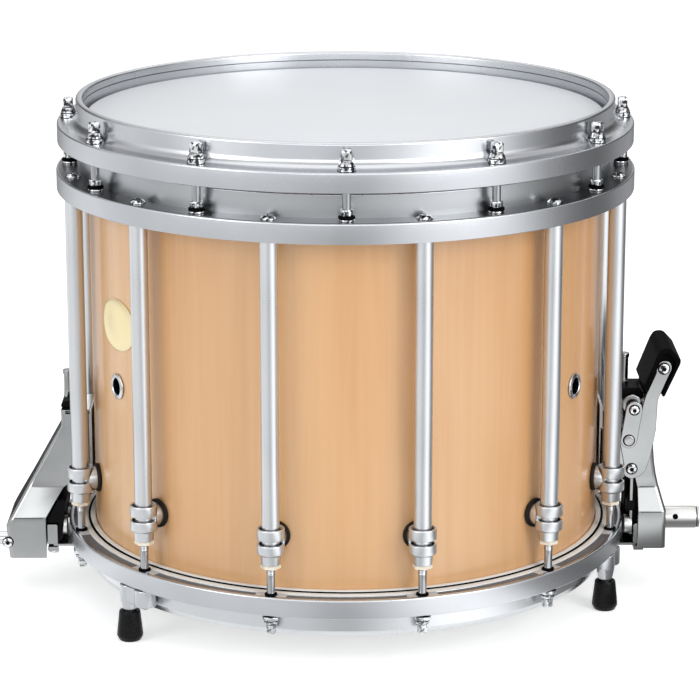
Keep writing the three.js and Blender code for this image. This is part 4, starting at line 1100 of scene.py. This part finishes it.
def tension_knob():
    """The knob on its shaft, with a cross hole, a black ring painted as shade in its joint, a black disc
    painted as shade on the hole's floor, and an end cap.
    """
    place = Matrix.Translation((0, 0, KNOB_Z * MM))
    shaft, neck, body, joint = 3, 7.0, 7.8, 246.8
    hole_x, hole_turn = 231.9, 72
    profile = rounded([
        (0, 208.4),
        (shaft, 208.4),
        (shaft, 223.6),
        (neck, 223.6, 0.4),
        (body, 225.2, 0.8),
        (body, joint, 0.4),
        (0, joint),
    ], 3)
    drill = shifted(spun(turned(box(0, 2.0, 4, 12), 24), hole_turn, "X"), x=hole_x)
    # Painted shade: a black disc on the floor of the cross hole.
    floor = shifted(spun(disc(2.2, 3.6, 4.2, 0.1), hole_turn, "X"), x=hole_x)
    knob = carved("knob_body", lying(turned(profile, 64)), [drill], GREY, 35)
    show("knob_body", knob, body="knob", slot="chrome", replaces=["tension_knob"], matrix=place)
    cap = lying(disc(7.5, joint + 0.6, joint + 2.2, 0.4, MANY))
    piece("knob_cap", cap, GREY, body="knob", slot="chrome", matrix=place)
    # Painted shade: a black ring in the joint, together with the disc in the hole.
    dark = together(lying(disc(neck, joint - 0.1, joint + 0.7, 0.1, MANY)), floor)
    piece("knob_dark", dark, BLACK_METAL_AND_SHADE, body="knob", slot="black_metal", matrix=place)


def butt_housing():
    """The bent steel bracket of the butt end, whose side plates slope from the shell to the bulge."""
    low, top, back = 24.5, 130.0, 177.0
    levels = [
        (low, 208.6, 234.5, BULGE_HALF),
        (47.6, 208.6, 236.4, BULGE_HALF),
        (53.0, 208.6, 233.6, BULGE_HALF),
        (54.6, 208.0, 232.7, BULGE_HALF - 0.4),
        (74.2, 196.2, 221.6, FRAME_HALF + 0.3),
        (76.0, 194.0, 220.6, FRAME_HALF),
        (81.0, 178.0, 217.7, FRAME_HALF),
        (96.0, back, 209.3, FRAME_HALF),
        (117.0, back, 197.4, FRAME_HALF),
        (119.0, back, 196.8, FRAME_HALF),
        (top, back, 196.8, FRAME_HALF),
    ]
    lid = slab(box(176.5, 196, top - 3, top), -FRAME_HALF, FRAME_HALF)
    parts = together(housing(levels), floor_plate(211, 233, low), lid)
    how = {"slot": "bright_steel", "replaces": ["butt_bracket"], "bevel": 0.35}
    piece("butt_housing", mirrored(parts), STEEL, **how)


def butt_fittings():
    """What the bracket carries: seat, block and guide rod, the black casting with its clamp, and screws."""
    top, crown = 130, 134.4
    piece("butt_seat", mirrored(seat_plate(81, top)), ZINC, slot="bright_steel")
    inner, outer = 185.3, 197.2
    block = [(inner, top, 0.5), (outer, top, 0.5), (outer, crown - 2, 2), (outer - 2.6, crown, 2)]
    block = slab(rounded(block + [(inner, crown, 1)]), -14, 14)
    piece("butt_block", mirrored(block), BLACK_METAL_AND_SHADE, slot="black_metal", bevel=0.5)
    piece("butt_guide", mirrored(shifted(guide(top, 150.5, 153.5), x=193.0)), STEEL, slot="chrome")
    casting = rounded([
        (194.8, 65.5, 1),
        (197.8, 36.9, 1),
        (200.3, 36.9, 0.5),
        (200.3, 49.5, 0.5),
        (208.6, 49.5, 1),
        (200.2, 65.5, 1),
    ], 3)
    how = {"slot": "black_metal", "replaces": ["butt_base"], "bevel": 0.6}
    piece("butt_casting", mirrored(slab(casting, -25.4, 25.4)), BLACK_METAL_AND_SHADE, **how)
    piece("butt_standoffs", mirrored(standoffs()), GREY, slot="satin_aluminium")
    how = {"slot": "bright_steel", "replaces": ["butt_clamp"], "bevel": 0.3}
    piece("butt_clamp_block", mirrored(clamp()), STEEL, **how)
    button = shifted(disc(3.6, 25.9, 29.0, 0.7), x=204.4)
    buttons = together(shifted(button, y=-18), shifted(button, y=18))
    piece("butt_buttons", mirrored(buttons), CHROME, slot="chrome")
    adjuster = shifted(lying(disc(4.6, 233, 249, 0.8, SOME)), z=30)
    piece("butt_adjuster", mirrored(adjuster), CHROME, slot="chrome")
    bolt("butt_screw", -235.2, 36.4, -BULGE_HALF, 3.4, 2.0)


def fold_shade_lines():
    """Painted shade lines along the folds of both housings, above and below their slopes."""
    fold_shade_line("butt_fold_shade_low", 210.5, 230.5, 53.6, BULGE_HALF, butt=True)
    fold_shade_line("strainer_fold_shade_low", 205.0, 219.5, 57.4, BULGE_HALF)
    fold_shade_line("strainer_fold_shade_high", 204.5, 214.5, 74.3, FRAME_HALF)


# Snares


def strand(y):
    """One snare as a fine coil lying along X, between the end plates."""
    length, radius, coils, sides, swell = 368.0, 0.7, 30, 8, 0.16
    steps = coils * sides
    rings = []
    for i in range(steps + 1):
        x = length * (i / steps - 0.5)
        r = radius * (1 + swell * math.sin(2 * math.pi * coils * i / steps))
        turns = [2 * math.pi * k / sides for k in range(sides)]
        rings.append([(x, y + r * math.cos(a), SNARE_Z + r * math.sin(a)) for a in turns])
    return loft(rings)


def snares():
    """Fourteen strands and the plate at each end of them."""
    count, pitch = 14, 3.3
    inner, outer, half, low, high = 183.6, 205.2, 23.7, 32.0, 33.5
    strands = together(*[strand((i - (count - 1) / 2) * pitch) for i in range(count)])
    how = {"body": "snares", "slot": "bright_steel"}
    piece("snare_wires", strands, STEEL, replaces=["snare_strands"], sharp=60, **how)
    plate = slab(box(inner, outer, -half, half, (2,) * 4, 4), low, high, "z")
    piece("snare_ends", together(plate, mirrored(plate)), STEEL, bevel=0.2, **how)


# Blank badge


def badge():
    """A blank oval plate bent round the shell, with a raised rim."""
    half_w, half_h, sides = 23.0, 17.5, 64
    steps = ((0.15, 1.0), (0.75, 1.0), (0.95, 0.965), (0.7, 0.93), (0.7, 0.5), (0.7, 0.02))
    verts, faces = [], []
    for height, share in steps:
        r = SHELL + height
        for k in range(sides):
            a = 2 * math.pi * k / sides
            w, h = half_w * share * math.cos(a), half_h * share * math.sin(a)
            verts.append((r * math.cos(w / SHELL), r * math.sin(w / SHELL), BADGE_Z + h))
    for row in range(len(steps) - 1):
        for k in range(sides):
            a, b = row * sides + k, row * sides + (k + 1) % sides
            faces.append((a, b, b + sides, a + sides))
    faces.append(tuple(range((len(steps) - 1) * sides, len(steps) * sides)))
    piece("badge_plate", (verts, faces), BADGE, turn=BADGE_TURN)


# Stage, light and camera

FLOOR_HALF = 12
FLOOR_GLOW = 0.52
WHITE = (1, 1, 1, 1)
PAINT = (0.9, 0.9, 0.9, 1)
ROOM = (0.97, 0.985, 1, 1)


def background_seen(tree):
    """1 for the rays that show the background: the camera's, and those seen in metal and through film."""
    rays = new_node(tree, "LightPath").outputs
    seen = rays["Is Camera Ray"]
    for ray in ("Is Glossy Ray", "Is Transmission Ray"):
        seen = new_node(tree, "Math", {0: seen, 1: rays[ray]}, operation="MAXIMUM")
    return seen


def shown_or_lit(tree, out, lit, shown):
    """Joins what lights the object and what the camera and reflections see of it."""
    feed(tree, out, {0: new_node(tree, "MixShader", {0: background_seen(tree), 1: lit, 2: shown})})


def ramp_of(tree, source, stops):
    """A colour ramp through (place, colour) stops."""
    ramp = new_node(tree, "ValToRGB", {0: source})
    while len(ramp.color_ramp.elements) < len(stops):
        ramp.color_ramp.elements.new(0.5)
    for element, (place, color) in zip(ramp.color_ramp.elements, stops):
        element.position = place
        element.color = color
    return ramp


def staged(name, part, mat):
    """A mesh in metres for the stage, not attached to any body of the drum."""
    verts, faces = part
    mesh = bpy.data.meshes.new(name)
    mesh.from_pydata(verts, [], faces)
    mesh.materials.append(mat)
    obj = placed(name, mesh)
    return obj


def stage_floor():
    """A pale floor, white where the camera sees it lit, that keeps the drum's shadow."""
    mat, tree, out = new_material("floor_paint")
    plain = new_node(tree, "BsdfDiffuse", {0: PAINT})
    white = new_node(tree, "AddShader", {0: plain, 1: new_node(tree, "Emission", {0: WHITE, 1: FLOOR_GLOW})})
    shown_or_lit(tree, out, plain, white)
    half = FLOOR_HALF
    corners = [(-half, -half, 0), (half, -half, 0), (half, half, 0), (-half, half, 0)]
    staged("floor", (corners, [(0, 1, 2, 3)]), mat)


# Brightness of the studio by bearing from the front, towards the right: low, near the drum, and high
LOW_TONES = (
    (-180, 0.9), (-164, 0.25), (-150, 0.45), (-142, 0.8), (-128, 1.2), (-112, 1.5), (-96, 1.28), (-80, 1.12),
    (-30, 1.08), (-16, 0.95), (-8, 0.8), (0, 0.7), (8, 0.84), (18, 1.15), (32, 1.64), (48, 1.9), (62, 1.55),
    (80, 0.55), (96, 0.28), (112, 0.2), (130, 0.5), (146, 0.55), (160, 0.2), (180, 0.9),
)
NEAR_TONES = (
    (-180, 0.9), (-166, 0.05), (-124, 0.05), (-112, 0.3), (-103, 0.8), (-91, 1.2), (-80, 1.5), (-69, 1.28),
    (-57, 1.12), (-21, 1.08), (-11, 0.95), (-6, 0.8), (0, 0.7), (6, 0.84), (13, 1.15), (23, 1.64), (34, 1.9),
    (45, 1.55), (57, 0.5), (69, 0.28), (80, 0.2), (93, 0.45), (104, 0.5), (114, 0.2), (124, 0.05),
    (166, 0.05), (180, 0.9),
)
HIGH_TONES = (
    (-180, 1.0), (-150, 0.1), (-125, 0.2), (-95, 1.1), (-60, 1.6), (-26, 1.8), (-16, 2.9), (-6, 2.7),
    (6, 2.5), (16, 2.5), (40, 2.3), (66, 1.7), (86, 0.4), (100, 0.1), (150, 0.1), (180, 1.0),
)
# Name, nearer and farther radius and the heights there in metres, tones, and the tones' share
RINGS = (
    ("near", 0.2, 0.6, 0.004, 0.004, NEAR_TONES, 0.95),
    ("far", 0.6, 2.6, 0.004, 0.004, LOW_TONES, 0.84),
    ("edge", 2.6, 2.601, 0.004, 0.45, LOW_TONES, 0.84),
    ("high", 2.9, 2.901, 0.45, 1.75, HIGH_TONES, 1.0),
)


def glow_by_bearing(name, tones, share):
    """An emission that follows a list of (bearing, brightness)."""
    mat, tree, out = new_material(name)
    brightest = max(tone for _, tone in tones)
    stops = []
    for bearing, tone in tones:
        value = tone / brightest
        stops.append((bearing / 360 + 0.5, (value * 0.98, value * 0.99, value, 1)))
    place = new_node(tree, "TexCoord").outputs["Object"]
    radial = new_node(tree, "TexGradient", {0: place}, gradient_type="RADIAL")
    glow = new_node(tree, "Emission", {0: ramp_of(tree, radial, stops), 1: brightest * share})
    feed(tree, out, {0: glow})
    return mat


def studio_ring(name, near, far, low, high, tones, share):
    """A ring of studio cards round the drum that only shiny parts show. Its local X points to the front."""
    part = turned([(near, low), (far, high)], 90, closed=False)
    obj = staged("cards_" + name, part, glow_by_bearing("cards_" + name, tones, share))
    obj.rotation_euler = (0, 0, math.radians(-90))
    obj.visible_camera = False
    obj.visible_diffuse = False
    obj.visible_shadow = False
    obj.visible_transmission = False


def world():
    """A soft room that lights the drum, and a pale sky, white low and overhead, that is seen and mirrored."""
    w = bpy.data.worlds.new("studio")
    bpy.context.scene.world = w
    w.use_nodes = True
    tree = w.node_tree
    tree.nodes.clear()
    out = new_node(tree, "OutputWorld")
    place = new_node(tree, "TexCoord").outputs["Generated"]
    height = new_node(tree, "SeparateXYZ", {0: place}).outputs["Z"]
    greys = ((0.0, 1.0), (0.5, 1.0), (0.62, 0.8), (0.78, 0.75), (0.9, 1.0))
    stops = [(level, (value, value, value, 1)) for level, value in greys]
    sky = new_node(tree, "Background", {0: ramp_of(tree, height, stops), 1: 1.0})
    room = new_node(tree, "Background", {0: ROOM, 1: 0.5})
    shown_or_lit(tree, out, room, sky)


# Name, place and size in metres, and power in watts
LAMPS = (
    ("top", (0.0, -0.3, 2.3), (2.6, 2.2), 14),
    ("front_right", (1.65, -1.8, 1.2), (1.2, 1.6), 29),
    ("front_left", (-1.9, -1.55, 1.0), (1.2, 1.5), 18),
    ("back", (0.0, 2.0, 2.3), (2.0, 0.9), 9),
)


def area(name, place, size, power):
    """A soft rectangular lamp that points at the drum."""
    data = bpy.data.lights.new(name, "AREA")
    data.shape = "RECTANGLE"
    data.size, data.size_y = size
    data.energy = power
    obj = placed(name, data)
    obj.location = place
    aim = Vector((0, 0, 0.2)) - Vector(place)
    obj.rotation_euler = aim.to_track_quat("-Z", "Y").to_euler()
    obj.visible_camera = False


def camera():
    """The photograph's view. down and right are the degrees that it is turned by."""
    place, down, right = (-0.0069, -1.9283, 0.6795), 14.883, 0.296
    data = bpy.data.cameras.new("camera")
    data.sensor_width = 36.0
    data.lens = 147.72
    obj = placed("camera", data)
    obj.location = place
    obj.rotation_euler = (math.radians(90 - down), 0, math.radians(-right))
    bpy.context.scene.camera = obj


def drum():
    shell()
    vent_rims()
    heads()
    upper_hoop()
    tube_ring()
    lower_hoop()
    upper_rods()
    tubes_and_lugs()
    feet()
    strainer_housing()
    strainer_fittings()
    lever_plates()
    lever_screws()
    lever_grip()
    link()
    carriage()
    tension_knob()
    butt_housing()
    butt_fittings()
    fold_shade_lines()
    snares()
    badge()


def studio():
    stage_floor()
    world()
    for ring in RINGS:
        studio_ring(*ring)
    for lamp in LAMPS:
        area(*lamp)
    camera()
    bpy.context.scene.view_settings.view_transform = "Standard"


drum()
studio()
